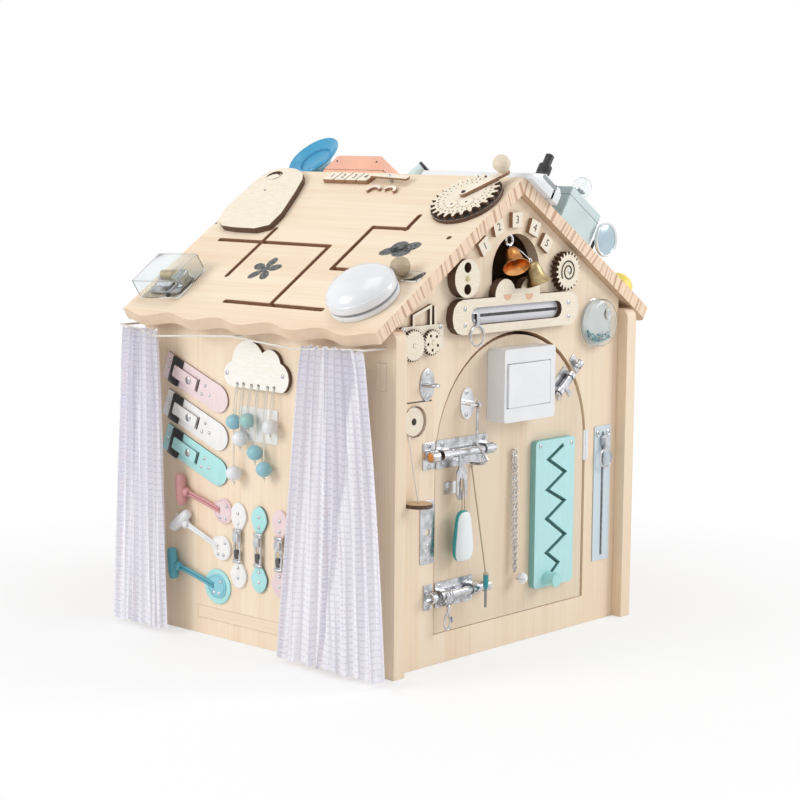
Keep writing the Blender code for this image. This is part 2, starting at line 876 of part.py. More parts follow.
# Bells, boards, gears and spinners on the gable
copper_apex_shares = (-0.0336, 0.8508, 0.30)
copper_mouth_shares = (-0.0526, 0.8159, 1.15)
brass_apex_shares = (0.0078, 0.8240, 1.24)
brass_mouth_shares = (0.0242, 0.7780, 1.67)
bell_profile_shares = ((0.36, 0.0), (0.57, 0.14), (0.67, 0.45), (0.77, 0.74), (1.0, 1.0))
zip_height_share = 0.7176
zip_end_share = 0.44
ear_shares = (-0.0987, 0.550)
ear_far_share = 0.0987
drum_shares = (0.5105, 0.6774)
gear_board_share = 0.681
gear_shares = (-0.243, -0.2145)
gear_lean = radians(3)
face_wheel_shares = (-0.3915, 0.513)
pull_shares = (-0.4206, 0.4826)
side_zip_shares = (0.3949, 0.2905)
side_zip_slider_share = 0.395
cab_shares = ((-0.20, 0.45), (-0.20, 0.88), (0.20, 1.20), (0.20, 0.45))
chimney_shares = ((0.31, 0.45), (0.30, 1.20))
cab_bar = 0.0034
face_recess_depth = 0.007
face_wheel_thickness = 0.005
slider_start_share = 0.11
ring_wire = 0.0013
bell_wire = 0.0009


def tilted(made, start, end):
    """Turns a piece built down local -Z so that it runs from one point toward another."""
    way = Vector(end) - Vector(start)
    turn = Vector((0, 0, -1)).rotation_difference(way)
    made.data.transform(Matrix.Translation(start) @ turn.to_matrix().to_4x4())
    return made


def bell(name, side, apex_shares, mouth_shares, material):
    """A bell on its wire, with its origin where the wire's ring rides on the hook."""
    hook_low = arch_crown - wire_radius - 2 * hook_loop
    ring_reach = wire_radius + bell_wire + seat_gap
    across = bell_hook_across + side * (bell_wire + seat_gap)
    ends = []
    for x, y, z in (apex_shares, mouth_shares):
        ends.append(Vector((x * house_width - across, y * ridge_height - hook_low, z * bell_radius + panel_thickness / 2)))
    apex, mouth = ends
    ring = [(0, ring_reach * y, ring_reach * z) for y, z in ring_points(1, 10)]
    made = wire(name, ring, bell_wire, material, 6, True)
    seat(made, gable, across, hook_low, -panel_thickness / 2)
    outer = [(r * bell_radius, -h * bell_height) for r, h in bell_profile_shares]
    inner = [(r - bell_wall, min(h + bell_wall * 0.4, -bell_wall)) for r, h in outer[:-1]]
    inner.append((outer[-1][0] - bell_wall * 0.7, outer[-1][1]))
    shell = turned(name + "_shell", [(0, 0)] + outer + list(reversed(inner)) + [(0, -bell_wall)], 16, material)
    join(made, tilted(shell, apex, mouth))
    clapper = rod(name + "_clapper", bell_wire, -bell_height * 0.6, -bell_wall * 0.6, material, 7)
    join(made, tilted(clapper, apex, mouth))
    drop = ball(name + "_drop", bell_wall * 1.9, material, 8, 4)
    join(made, drop, apex.lerp(mouth, 0.62))
    hanger = Vector((0, apex.y, apex.z)).normalized() * ring_reach
    join(made, wire(name + "_hanger", [hanger, apex.lerp(mouth, 0.04)], bell_wire * 0.8, material, 7))
    return made


def gear_outline(teeth, module):
    """A gear's outline: four points a tooth, with a tooth pointing along +X."""
    root = module * (teeth / 2 - 1.2)
    tip = module * (teeth / 2 + 0.7)
    points = []
    for i in range(teeth):
        for radius, share in ((root, -0.30), (tip, -0.12), (tip, 0.12), (root, 0.30)):
            angle = 2 * pi * (i + share) / teeth
            points.append((radius * cos(angle), radius * sin(angle)))
    return points


def gable_boards():
    zip_top = zip_height_share * ridge_height + zip_height / 2
    up = zip_top + disc_radius + disc_lift
    across = -under_roof(up, disc_radius + disc_roof_gap)
    disc = rod("button_disc", disc_radius, seat_gap, disc_thickness, plywood, 28)
    seat(disc, gable, across, up)
    for end in (-1, 1):
        hole = rod(f"button_hole_{end}", disc_hole_radius, -overrun, disc_thickness + overrun, plywood, 16)
        cut(disc, hole, (0, end * disc_hole_spread, 0))

    up = zip_top + spiral_radius + spiral_lift
    across = under_roof(up, spiral_radius + spiral_roof_gap)
    spiral_module = spiral_radius / (spiral_teeth / 2 + 0.7)
    spiral = prism("spiral_gear", gear_outline(spiral_teeth, spiral_module), seat_gap, ply_thickness, plywood)
    seat(spiral, gable, across, up)

    across = zip_right + drum_shares[0] * (inner_half - zip_right)
    up = drum_shares[1] * ridge_height
    drum = rod("bead_drum", drum_radius, seat_gap, drum_depth, clear, 32)
    seat(drum, gable, across, up)


def zip_board():
    across = zip_across
    up = zip_height_share * ridge_height
    plate = box("zip_plate", zip_width, zip_height, seat_gap, ply_thickness, plywood, zip_height * zip_end_share)
    seat(plate, gable, across, up)
    for place in (ear_shares[0], ear_far_share):
        ear = rod(f"ear_{place}", ear_radius, seat_gap, ply_thickness, plywood, 24)
        join(plate, ear, (place * zip_width, ear_shares[1] * zip_height, 0))
    span = (ear_far_share - ear_shares[0]) * zip_width
    bridge = box("ear_bridge", span, zip_height / 2 + ear_bridge, seat_gap, ply_thickness, plywood)
    join(plate, bridge, ((ear_far_share + ear_shares[0]) * zip_width / 2, zip_height / 4 + ear_bridge / 2, 0))
    slot = box("zip_slot", zip_slot_length, zip_slot_height, zip_floor, ply_thickness + overrun, cloth, zip_slot_height / 2)
    cut(plate, slot)
    start = -zip_slot_length / 2 + slider_start_share * zip_slot_length / 2
    slider = zip_pull("zip_slider", ply_thickness - zip_floor)
    seat(slider, gable, across + start, up, zip_floor + seat_gap)


def zip_pull(name, sunk):
    """A zip's slider with its tab and ring, which hang in front of the board."""
    body = box(name, slider_width, slider_height, 0, slider_thickness, steel, slider_thickness / 2)
    bridge = box(name + "_bridge", slider_width / 2, slider_height / 2, slider_thickness / 2, sunk + 2 * ring_wire, steel)
    join(body, bridge)
    low = -slider_height / 4 - ring_radius * 0.7
    tab = box(name + "_tab", slider_width / 2, -low + ring_wire, sunk, sunk + 2 * ring_wire, steel)
    join(body, tab, (0, low / 2 + ring_wire / 2, 0))
    ring = [(x, y, 0) for x, y in ring_points(ring_radius, 20)]
    join(body, wire(name + "_ring", ring, ring_wire, steel, 6, True), (0, low - ring_radius + ring_wire, sunk + ring_wire))
    return body


def side_zip():
    across, up = gable_place(side_zip_shares)
    tape = box("side_zip_tape", side_zip_width, side_zip_height, seat_gap, sheet_thickness, pale_blue)
    seat(tape, gable, across, up)
    slider = zip_pull("side_zip_slider", slider_thickness)
    seat(slider, gable, across, up + side_zip_slider_share * side_zip_height, sheet_thickness + seat_gap)


def gears():
    across = zip_left - gear_board_gap - gear_board_length / 2
    up = gear_board_share * ridge_height
    board = box("gear_board", gear_board_length, gear_board_height, seat_gap, thin_ply, plywood, thin_ply)
    seat(board, gable, across, up)
    for shares in (cab_shares, chimney_shares):
        points = [(x * gear_board_length, y * gear_board_height) for x, y in shares]
        join(board, prism(f"cab_{len(shares)}", strip(points, cab_bar), seat_gap, thin_ply, plywood))
    reach = gear_module * (gear_teeth + pinion_teeth) / 2
    first = Vector((across + gear_shares[0] * gear_board_length, up + gear_shares[1] * gear_board_height))
    second = first + reach * Vector((cos(gear_lean), sin(gear_lean)))
    pin = gear_module * 2
    low = thin_ply + seat_gap
    for name, teeth, centre, turn in (
        ("big_gear", gear_teeth, first, gear_lean),
        ("small_gear", pinion_teeth, second, gear_lean + pi + pi / pinion_teeth),
    ):
        gear = prism(name, gear_outline(teeth, gear_module), low, low + thin_ply, plywood)
        seat(gear, gable, centre.x, centre.y, 0, turn)
        cut(gear, rod(name + "_bore", pin + seat_gap, 0, low + thin_ply + overrun, plywood, 16))
        axle = rod(name + "_axle", pin, thin_ply / 2, low + thin_ply + seat_gap, steel, 16)
        join(board, axle, (centre.x - across, centre.y - up, 0))
    for i in range(5):
        angle = 2 * pi * i / 5
        hole = rod(f"pinion_hole_{i}", pin * 0.8, 0, low + thin_ply + overrun, plywood, 8)
        ring = gear_module * pinion_teeth * 0.31
        cut(bpy.data.objects["small_gear"], hole, (ring * cos(angle), ring * sin(angle), 0))


def face_wheel():
    across, up = gable_place(face_wheel_shares)
    panel = bpy.data.objects["front_panel"]
    recess = rod("face_recess", face_wheel_radius + sheet_thickness, -face_recess_depth, overrun, pine, 28)
    cut(panel, recess, (across, up, 0))
    low = -face_recess_depth + seat_gap
    wheel = rod("face_wheel", face_wheel_radius, low, low + face_wheel_thickness, plywood, 24)
    seat(wheel, gable, across, up)
    cut(wheel, rod("face_wheel_bore", face_wheel_bore, -face_recess_depth - overrun, overrun, plywood, 12))


def pull_disc():
    across, up = gable_place(pull_shares)
    foot = (0, -pull_string_length, pull_disc_radius + pull_disc_thickness / 2)
    pull, run = hanging("pull_disc", gable, (across, up, 0), foot, string_radius, string_radius * 2, cloth)
    disc = rod("pull_disc_wood", pull_disc_radius, -pull_disc_thickness, 0, plywood, 24)
    join(pull, disc, run + Vector((0, pull_disc_thickness / 2, 0)), (-pi / 2, 0, 0))


bell("copper_bell", -1, copper_apex_shares, copper_mouth_shares, copper)
bell("brass_bell", 1, brass_apex_shares, brass_mouth_shares, brass)
gable_boards()
zip_board()
side_zip()
gears()
face_wheel()
pull_disc()


# Beads, straps and curtains on the curtain side
cloud_shares = (-0.0160, 0.8580)
cloud_lobe_shares = (
    (-0.360, -0.117, 0.130),
    (-0.117, 0.009, 0.249),
    (0.212, 0.027, 0.157),
    (0.329, -0.108, 0.164),
)
cloud_foot_share = 0.254
bead_hang_share = 0.798
bead_string_shares = (
    (-0.0900, (0.684, 0.528), blue),
    (-0.0648, (0.635,), white),
    (-0.0329, (0.693,), mint),
    (-0.0050, (0.600,), blue),
    (0.0319, (0.555,), blue),
    (0.0571, (0.684,), white),
)
strap_shares = ((-0.2726, 0.778), (-0.2730, 0.662), (-0.2760, 0.553))
strap_slope = radians(-20.5)
strap_tip_share = 0.16
buckle_shares = (-0.36, 0.10)
cord_shares = (
    (-0.5140, 0.0),
    (-0.4500, 0.25),
    (-0.3640, 1.0),
    (-0.1900, 0.43),
    (-0.0470, 0.03),
    (0.0700, 0.385),
    (0.2000, 0.75),
    (0.3300, 0.30),
    (0.4610, 0.02),
)
fold_top_share = 0.45
cord_hook_points = (0, 4, 8)
curtain_left_shares = (-0.500, -0.362, -0.555, -0.318)
curtain_right_shares = (0.222, 0.456, 0.125, 0.552)
curtain_folds = 5
curtain_columns = 30
curtain_rows = 4
hook_wire = 0.0013


def side_place(shares):
    return shares[0] * house_depth, shares[1] * wall_height


def cloud_edge(angle):
    """The farthest point of any lobe on a ray from the middle, cut off at the flat foot."""
    ray = Vector((cos(angle), sin(angle)))
    reach = 0
    for x, y, size in cloud_lobe_shares:
        along = x * ray.x + y * ray.y
        inside = size * size - x * x - y * y + along * along
        if inside > 0:
            reach = max(reach, along + sqrt(inside))
    if ray.y < 0:
        foot = cloud_foot_share / -ray.y
        over_foot = cloud_lobe_shares[0][0] < foot * ray.x < cloud_lobe_shares[-1][0]
        reach = foot if over_foot else min(reach, foot)
    return ray * reach * cloud_width


def cloud():
    across, up = side_place(cloud_shares)
    outline = [tuple(cloud_edge(2 * pi * turn / cloud_points)) for turn in range(cloud_points)]
    seat(prism("cloud", outline, seat_gap, cloud_thickness, plywood), left_side, across, up)


def bead_strings():
    for number, (place, heights, paint) in enumerate(bead_string_shares, 1):
        x = place * house_depth
        top = bead_hang_share * wall_height
        low = heights[-1] * wall_height - top - bead_radius
        name = f"bead_string_{number}"
        string, run = hanging(
            name, left_side, (x, top, cloud_thickness), (0, low, bead_stand), string_radius, string_radius * 2, paint
        )
        for height in heights:
            drop = height * wall_height - top
            join(string, ball(f"{name}_bead_{height}", bead_radius, paint), (0, drop, run.z))


def straps():
    for number, (shares, paint) in enumerate(zip(strap_shares, (pink, white, mint)), 1):
        across, up = side_place(shares)
        half = strap_length / 2
        tip = strap_length * strap_tip_share
        low = strap_width / 2
        outline = [(half - tip, low), (-half, low), (-half, -low), (half - tip, -low)]
        outline += arc(half - tip, 0, tip, -pi / 2.6, pi / 2.6, 6)
        strap = prism(f"strap_{number}", outline, seat_gap, strap_sheet, paint)
        seat(strap, left_side, across, up, 0, strap_slope)
        buckle_x, buckle_y = buckle_shares
        frame = prism(
            f"buckle_{number}",
            rounded(tongue_width, strap_width * 1.1, sheet_thickness * 2),
            strap_sheet / 2,
            strap_sheet * 2,
            steel,
        )
        join(strap, frame, (buckle_x * strap_length, buckle_y * strap_width, 0))
        tongue = box(f"tongue_{number}", tongue_length, tongue_width, strap_sheet / 2, strap_sheet * 1.7, paint, tongue_width / 2)
        join(strap, tongue, (-strap_length * 0.19, buckle_y * strap_width, 0))


def cord_place(shares):
    """A point of the cord: its share of the depth, and its sag below the lower edge of the eave."""
    eave_low = roof_under(eave_reach - roof_thickness * sin(roof_pitch))
    return shares[0] * house_depth, eave_low - hook_wire - seat_gap - shares[1] * cord_sag


def cord_height(across):
    """The cord's height above the ground at a place along the wall."""
    points = [cord_place(p) for p in cord_shares]
    for (x1, y1), (x2, y2) in zip(points, points[1:]):
        if across <= x2:
            break
    return y1 + (y2 - y1) * (across - x1) / (x2 - x1)


def curtain_cord():
    points = [(x, y, curtain_stand) for x, y in map(cord_place, cord_shares)]
    cord = seat(wire("curtain_cord", points, cord_radius, cloth, 8), left_side)
    for index in cord_hook_points:
        x, y, out = points[index]
        hook = rod(f"cord_hook_{index}", hook_wire, seat_gap, out + cord_radius * 1.5, steel, 8)
        join(cord, hook, (x, y, 0))
    return cord


def curtain(name, shares):
    """Gathered cloth in even folds, close at the cord and wide at the hem."""
    top_left, top_right, low_left, low_right = (share * house_depth for share in shares)
    form = bmesh.new()
    faces = []
    for side in (1, -1):
        rows = []
        for row in range(curtain_rows + 1):
            drop = row / curtain_rows
            spread = drop ** 0.7
            left = top_left + (low_left - top_left) * spread
            right = top_right + (low_right - top_right) * spread
            verts = []
            for column in range(curtain_columns + 1):
                along = column / curtain_columns
                x = left + (right - left) * along
                top = cord_height(top_left + (top_right - top_left) * along) - cord_radius - seat_gap
                y = top - (top - curtain_hem_height) * drop
                swing = 2 * pi * curtain_folds * along
                depth = curtain_fold_depth * (fold_top_share + (1 - fold_top_share) * drop)
                out = curtain_stand + depth * sin(swing) + side * curtain_thickness / 2
                verts.append(form.verts.new((x, y, out)))
            rows.append(verts)
        faces.append(rows)
    front, back = faces
    for row in range(curtain_rows):
        for column in range(curtain_columns):
            a, b = front[row][column], front[row][column + 1]
            c, d = front[row + 1][column + 1], front[row + 1][column]
            form.faces.new((a, b, c, d))
            a, b = back[row][column], back[row][column + 1]
            c, d = back[row + 1][column + 1], back[row + 1][column]
            form.faces.new((d, c, b, a))
    for row in range(curtain_rows):
        for column in (0, curtain_columns):
            form.faces.new((front[row][column], front[row + 1][column], back[row + 1][column], back[row][column]))
    for column in range(curtain_columns):
        for row in (0, curtain_rows):
            form.faces.new((front[row][column], front[row][column + 1], back[row][column + 1], back[row][column]))
    made = finish(name, form, cloth)
    return seat(made, left_side)


cloud()
bead_strings()
straps()
curtain_cord()
curtain("curtain_left", curtain_left_shares)
curtain("curtain_right", curtain_right_shares)


# Pieces on the roof
spinner_shares = (0.3865, 0.173)
crank_turn = radians(54)
lamp_shares = (0.364, 0.797)
music_shares = (-0.4007, 0.799)
music_turn = radians(4)
cover_outline_shares = (
    (-0.299, 0.069),
    (-0.372, 0.016),
    (-0.450, 0.018),
    (-0.487, 0.075),
    (-0.492, 0.330),
    (-0.440, 0.440),
    (-0.215, 0.440),
)
cover_hole_shares = (-0.430, 0.072, 0.060, 0.045)
horn_reach_share = 1.120
horn_height_share = 0.075
horn_aim_shares = (0.075, 0.955, 0.285)
horn_back_share = 0.55
horn_profile_shares = ((0.30, -0.42), (0.45, -0.30), (0.90, -0.08), (1.0, 0.0), (0.86, -0.04), (0.60, -0.13), (0.56, -0.22))
slab_shares = (0.190, 0.150)
slab_chamfer_share = 0.25
box_shares = (-0.3866, 0.413)
mirror_shares = (-0.455, 0.580)


def slope_place(shares):
    return shares[0] * roof_length, -shares[1] * slope_length


def spinner():
    across, up = slope_place(spinner_shares)
    layer = spinner_thickness / 2
    module = spinner_radius * 0.9 / (24 / 2 + 0.7)
    disc = rod("gear_spinner", spinner_radius * 0.9, seat_gap, layer, plywood, 32)
    seat(disc, left_slope, across, up)
    top = prism("spinner_teeth", gear_outline(24, module * 0.97), layer / 2, spinner_thickness, plywood)
    join(disc, top)
    bore = crank_width / 4
    cut(disc, rod("spinner_bore", bore + seat_gap, -overrun, spinner_thickness + overrun, plywood, 16))
    axle = rod("spinner_axle", bore, -roof_thickness / 2, spinner_thickness + seat_gap, steel, 16)
    join(bpy.data.objects["left_roof"], axle, (across, up, 0))

    crank = box("spinner_crank", crank_length + crank_width, crank_width, 0, crank_thickness, plywood, crank_width / 2)
    crank.data.transform(Matrix.Translation((crank_length / 2, 0, 0)))
    seat(crank, left_slope, across, up, spinner_thickness + 2 * seat_gap, crank_turn)
    join(crank, rod("crank_post", knob_radius * 0.35, crank_thickness / 2, crank_thickness + knob_radius, plywood, 12), (crank_length, 0, 0))
    join(crank, ball("crank_knob", knob_radius, plywood, 16, 8), (crank_length, 0, crank_thickness + knob_radius * 1.1))


def lamp():
    across, up = slope_place(lamp_shares)
    base = rod("lamp_base", lamp_radius, seat_gap, lamp_base_height, white, 28)
    seat(base, left_slope, across, up)
    band = lamp_travel + seat_gap
    profile = [(0, 0), (lamp_radius, 0), (lamp_radius, lamp_band)]
    for i in range(1, 4):
        angle = pi / 2 * i / 4
        profile.append((lamp_radius * cos(angle), lamp_band + lamp_dome * sin(angle)))
    profile.append((0, lamp_band + lamp_dome))
    seat(turned("push_lamp", profile, 28, white), left_slope, across, up, lamp_base_height + band)
    spigot = rod("lamp_spigot", lamp_radius * 0.2, -lamp_base_height / 2, lamp_band / 2, white, 16)
    join(bpy.data.objects["push_lamp"], spigot, (0, 0, 0))
    well = rod("lamp_well", lamp_radius * 0.2 + running_gap, -overrun, lamp_base_height + overrun, white, 16)
    cut(base, well)


def left_roof_boards():
    across, up = slope_place(music_shares)
    case = box("music_box", music_length, music_width, seat_gap, music_height, clear, sheet_thickness)
    seat(case, left_slope, across, up, 0, music_turn)

    outline = [slope_place(p) for p in cover_outline_shares]
    cover = prism("cover_plate", smooth(outline), seat_gap, 2 * thin_ply, plywood)
    seat(cover, left_slope)
    x, y, width, height = cover_hole_shares
    hole = prism("cover_hole", oval(width * roof_length, height * roof_length, 16), thin_ply, 2 * thin_ply + overrun, plywood)
    cut(cover, hole, (x * roof_length, -y * slope_length, 0))


def smooth(outline):
    """Rounds each corner of an outline by cutting it with a short curve."""
    points = [Vector(p) for p in outline]
    result = []
    for i, point in enumerate(points):
        before = point.lerp(points[i - 1], 0.3)
        after = point.lerp(points[(i + 1) % len(points)], 0.3)
        for share in (0, 0.5, 1):
            result.append(tuple(before.lerp(point, share).lerp(point.lerp(after, share), share)))
    return result


def horn():
    slab_across = slope_place(slab_shares)[0]
    across = slab_across + slab_length / 2 + horn_radius * horn_reach_share
    up = -horn_height_share * slope_length
    rise = horn_radius + seat_gap
    back = horn_radius * horn_back_share
    stem = turned(
        "horn",
        [(0, seat_gap), (horn_throat, seat_gap), (horn_throat * 0.8, rise * 0.5), (horn_throat * 0.6, rise), (0, rise)],
        14,
        blue,
    )
    seat(stem, right_slope, across, up - back)
    aim = Vector(horn_aim_shares).normalized()
    dish = turned("horn_dish", [(0, -horn_radius * 0.42)] + [(r * horn_radius, h * horn_radius) for r, h in horn_profile_shares] + [(0, -horn_radius * 0.26)], 20, blue)
    dish.data.transform(Vector((0, 0, 1)).rotation_difference(aim).to_matrix().to_4x4())
    join(stem, dish, (0, back, rise))


def right_roof_boxes():
    across, up = slope_place(slab_shares)
    half = slab_length / 2
    run = slab_length * slab_chamfer_share
    profile = [(-half, seat_gap), (half, seat_gap), (half, slab_height), (-half + run, slab_height)]
    slab = prism("slab", [(x, z) for x, z in profile], -slab_width / 2, slab_width / 2, peach)
    slab.data.transform(Matrix.Rotation(pi / 2, 4, "X"))
    seat(slab, right_slope, across, up)

    across, up = slope_place(box_shares)
    case = box("phone_box", box_width, box_length, seat_gap, box_height, grey_blue, sheet_thickness * 2)
    seat(case, right_slope, across, up)


def mirror():
    across, up = slope_place(mirror_shares)
    bend = arm_radius * 2
    points = [(0, 0, seat_gap), (0, 0, mirror_height - bend), (-bend / 3, 0, mirror_height - bend / 3)]
    points += [(-bend, 0, mirror_height), (-arm_reach, 0, mirror_height)]
    seat(wire("mirror_arm", points, arm_radius, steel, 10), right_slope, across, up)
    pivot = ball("mirror", arm_radius, steel, 10)
    seat(pivot, right_slope, across - arm_reach - seat_gap - arm_radius, up, mirror_height)
    join(pivot, wire("mirror_stem_wire", [(-arm_radius / 4, 0, 0), (-mirror_stem, 0, 0)], arm_radius * 0.8, steel, 10))
    glass = rod("mirror_glass", mirror_radius, 0, mirror_thickness, steel, 28)
    join(pivot, glass, (-mirror_stem + seat_gap, 0, 0), (0, -pi / 2, 0))


spinner()
lamp()
left_roof_boards()
horn()
right_roof_boxes()
mirror()
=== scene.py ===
# %% [markdown]
# # A wooden busy house
#
# The object is a small pine house whose boards carry things to open, turn, slide and pull. The
# solids that move come ready made from the CAD model. This lesson dresses them with materials,
# and adds the pieces that are only there for the eye, such as screws, curtains and number tiles.

# %% Load the frame
from math import cos, pi, radians, sin, sqrt

import bmesh
import bpy
from mathutils import Matrix, Vector


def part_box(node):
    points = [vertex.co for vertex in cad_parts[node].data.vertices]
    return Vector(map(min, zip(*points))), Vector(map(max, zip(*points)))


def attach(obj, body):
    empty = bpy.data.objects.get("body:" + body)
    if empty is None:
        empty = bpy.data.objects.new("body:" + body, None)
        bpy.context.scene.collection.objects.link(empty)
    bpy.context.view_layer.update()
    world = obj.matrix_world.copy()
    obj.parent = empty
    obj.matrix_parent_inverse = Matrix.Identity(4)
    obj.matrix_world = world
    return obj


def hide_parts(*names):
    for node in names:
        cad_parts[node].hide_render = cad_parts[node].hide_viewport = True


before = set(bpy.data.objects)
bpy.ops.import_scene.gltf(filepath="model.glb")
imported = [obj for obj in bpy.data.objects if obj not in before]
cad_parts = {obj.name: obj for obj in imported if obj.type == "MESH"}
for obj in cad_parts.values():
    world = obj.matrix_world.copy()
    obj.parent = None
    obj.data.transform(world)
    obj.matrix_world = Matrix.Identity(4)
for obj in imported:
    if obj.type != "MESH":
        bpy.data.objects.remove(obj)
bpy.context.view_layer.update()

# %% [markdown]
# ## The camera
#
# A long lens from two and a half metres keeps the walls nearly parallel, as in a product picture.
# The lens and the place were worked out from the straight edges of the house, so they are set as
# numbers, and the three directions of the camera become the columns of its matrix.

# %% Camera
yaw, pitch, roll = 0.8335, 0.130, 0.0092
ahead = Vector((sin(yaw) * cos(pitch), cos(yaw) * cos(pitch), -sin(pitch)))
level = Vector((cos(yaw), -sin(yaw), 0))
upward = level.cross(ahead)
side = cos(roll) * level + sin(roll) * upward
top = -sin(roll) * level + cos(roll) * upward
camera_turn = Matrix((side, top, -ahead)).transposed().to_4x4()
bpy.ops.object.camera_add()
camera = bpy.context.object
camera.name = "camera"
camera.data.lens = 92.0
camera.data.sensor_width = 36.0
camera.matrix_world = Matrix.Translation((-1.8732, -1.7142, 0.5898)) @ camera_turn
bpy.context.scene.camera = camera
print("camera looks along", [round(v, 3) for v in ahead])

# %% [markdown]
# ## Boards to work on
#
# Nearly every piece is fixed flat to one of four boards. Each board gets a matrix, so a piece can
# be modelled lying flat at the origin, X to the viewer's right, Y up the board and Z out of it,
# and then be put in its place. Heights on the walls are measured from the ground.

# %% The four boards
GROUND = -0.020
PITCH = radians(33.3)
GABLE_Y = -0.1954
WALL_X = -0.2235
RIDGE = Vector((0, 0.0055, 0.5395))


def board(place, right, up):
    right, up = Vector(right), Vector(up)
    turn = Matrix((right, up, right.cross(up))).transposed()
    return Matrix.Translation(place) @ turn.to_4x4()


gable = board((0, GABLE_Y, GROUND), (1, 0, 0), (0, 0, 1))
left_side = board((WALL_X, 0, GROUND), (0, -1, 0), (0, 0, 1))
left_slope = board(RIDGE, (0, -1, 0), (cos(PITCH), 0, sin(PITCH)))
right_slope = board(RIDGE, (0, 1, 0), (-cos(PITCH), 0, sin(PITCH)))
SLOPE_OUT = (-sin(PITCH), 0, cos(PITCH))
print("gable stands at y", GABLE_Y, "and the ridge at z", RIDGE.z)

# %% [markdown]
# ## Tools for modelling
#
# An operator works on whatever is selected, so everything is deselected before a piece is begun.
# A finished piece is put on its board, its place is applied to its mesh, and it is told which
# body of the model it rides on.


# %% Selecting and finishing
def deselect():
    if bpy.context.mode != "OBJECT":
        bpy.ops.object.mode_set(mode="OBJECT")
    bpy.ops.object.select_all(action="DESELECT")


def only(piece):
    deselect()
    piece.select_set(True)
    bpy.context.view_layer.objects.active = piece
    return piece


def named(name):
    piece = bpy.context.object
    piece.name = name
    piece.data.name = name
    return piece


def apply_place(piece):
    only(piece)
    bpy.ops.object.transform_apply(location=True, rotation=True, scale=True)
    return piece


def apply_modifiers(piece):
    only(piece)
    for step in list(piece.modifiers):
        bpy.ops.object.modifier_apply(modifier=step.name)
    return piece


def put_on(piece, base, across=0, up=0, out=0, turn=0):
    """Places a piece that was modelled flat at the origin on a board."""
    apply_place(piece)
    spot = Matrix.Translation((across, up, out)) @ Matrix.Rotation(turn, 4, "Z")
    piece.matrix_world = base @ spot
    return apply_place(piece)


def dress(piece, material, body, slot=None, nodes=()):
    piece.data.materials.clear()
    piece.data.materials.append(material)
    return settle(piece, body, slot, nodes)


def settle(piece, body, slot=None, nodes=()):
    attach(piece, body)
    if nodes:
        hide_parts(*nodes)
    return piece


def join(name, pieces):
    """Makes one piece of several that belong together, each keeping its own material."""
    only(pieces[0])
    for other in pieces[1:]:
        other.select_set(True)
    if len(pieces) > 1:
        bpy.ops.object.join()
    return named(name)


def copy_of(piece, name):
    only(piece)
    bpy.ops.object.duplicate(linked=False)
    return named(name)


# %% [markdown]
# The shapes are the usual ones of a workshop: a flat board of any outline, a turned piece, and a
# bent wire. A board starts as a filled circle with as many corners as its outline. The corners
# are moved to the outline, and the face is extruded. Its edges are then rounded over with a
# bevel, because a real edge always catches a line of light.


# %% Workshop shapes
def soften(piece, width, steps=2, angle=35):
    edge = piece.modifiers.new("edge", "BEVEL")
    edge.width = width
    edge.segments = steps
    edge.limit_method = "ANGLE"
    edge.angle_limit = radians(angle)
    apply_modifiers(piece)
    bpy.ops.object.shade_smooth_by_angle(angle=radians(40))
    return piece


def flat_board(name, outline, low, high, edge=0.0004, steps=2):
    """A board with that outline from height low to high, its rims rounded over."""
    deselect()
    bpy.ops.mesh.primitive_circle_add(vertices=len(outline), radius=1, fill_type="NGON")
    piece = named(name)
    bpy.ops.object.mode_set(mode="EDIT")
    form = bmesh.from_edit_mesh(piece.data)
    corners = sorted(form.verts, key=lambda v: v.index)
    for corner, (x, y) in zip(corners, outline):
        corner.co = (x, y, low)
    bmesh.update_edit_mesh(piece.data)
    bpy.ops.mesh.select_all(action="SELECT")
    bpy.ops.mesh.extrude_region_move(TRANSFORM_OT_translate={"value": (0, 0, high - low)})
    bpy.ops.mesh.select_all(action="SELECT")
    bpy.ops.mesh.normals_make_consistent(inside=False)
    bpy.ops.object.mode_set(mode="OBJECT")
    if edge:
        soften(piece, edge, steps)
    return piece


def arc(x, y, radius, start, end, steps):
    turns = [start + (end - start) * i / steps for i in range(steps + 1)]
    return [(x + radius * cos(a), y + radius * sin(a)) for a in turns]


def rounded(width, height, radius, steps=6):
    x, y = width / 2 - radius, height / 2 - radius
    corners = ((x, y, 0), (-x, y, pi / 2), (-x, -y, pi), (x, -y, 3 * pi / 2))
    return [p for cx, cy, a in corners for p in arc(cx, cy, radius, a, a + pi / 2, steps)]


def turned(name, profile, sides=48, closed=False):
    """Spins a profile of (radius, height) pairs about Z, as on a lathe."""
    deselect()
    bpy.ops.mesh.primitive_circle_add(vertices=len(profile), radius=1, fill_type="NOTHING")
    piece = named(name)
    bpy.ops.object.mode_set(mode="EDIT")
    form = bmesh.from_edit_mesh(piece.data)
    corners = sorted(form.verts, key=lambda v: v.index)
    for corner, (radius, height) in zip(corners, profile):
        corner.co = (radius, 0, height)
    if not closed:
        last = [e for e in form.edges if {v.index for v in e.verts} == {0, len(profile) - 1}]
        bmesh.ops.delete(form, geom=last, context="EDGES")
    bmesh.update_edit_mesh(piece.data)
    bpy.ops.mesh.select_all(action="SELECT")
    bpy.ops.mesh.spin(steps=sides, angle=2 * pi, center=(0, 0, 0), axis=(0, 0, 1))
    bpy.ops.mesh.select_all(action="SELECT")
    bpy.ops.mesh.remove_doubles(threshold=0.00002)
    bpy.ops.mesh.normals_make_consistent(inside=False)
    bpy.ops.object.mode_set(mode="OBJECT")
    only(piece)
    bpy.ops.object.shade_smooth_by_angle(angle=radians(38))
    return piece


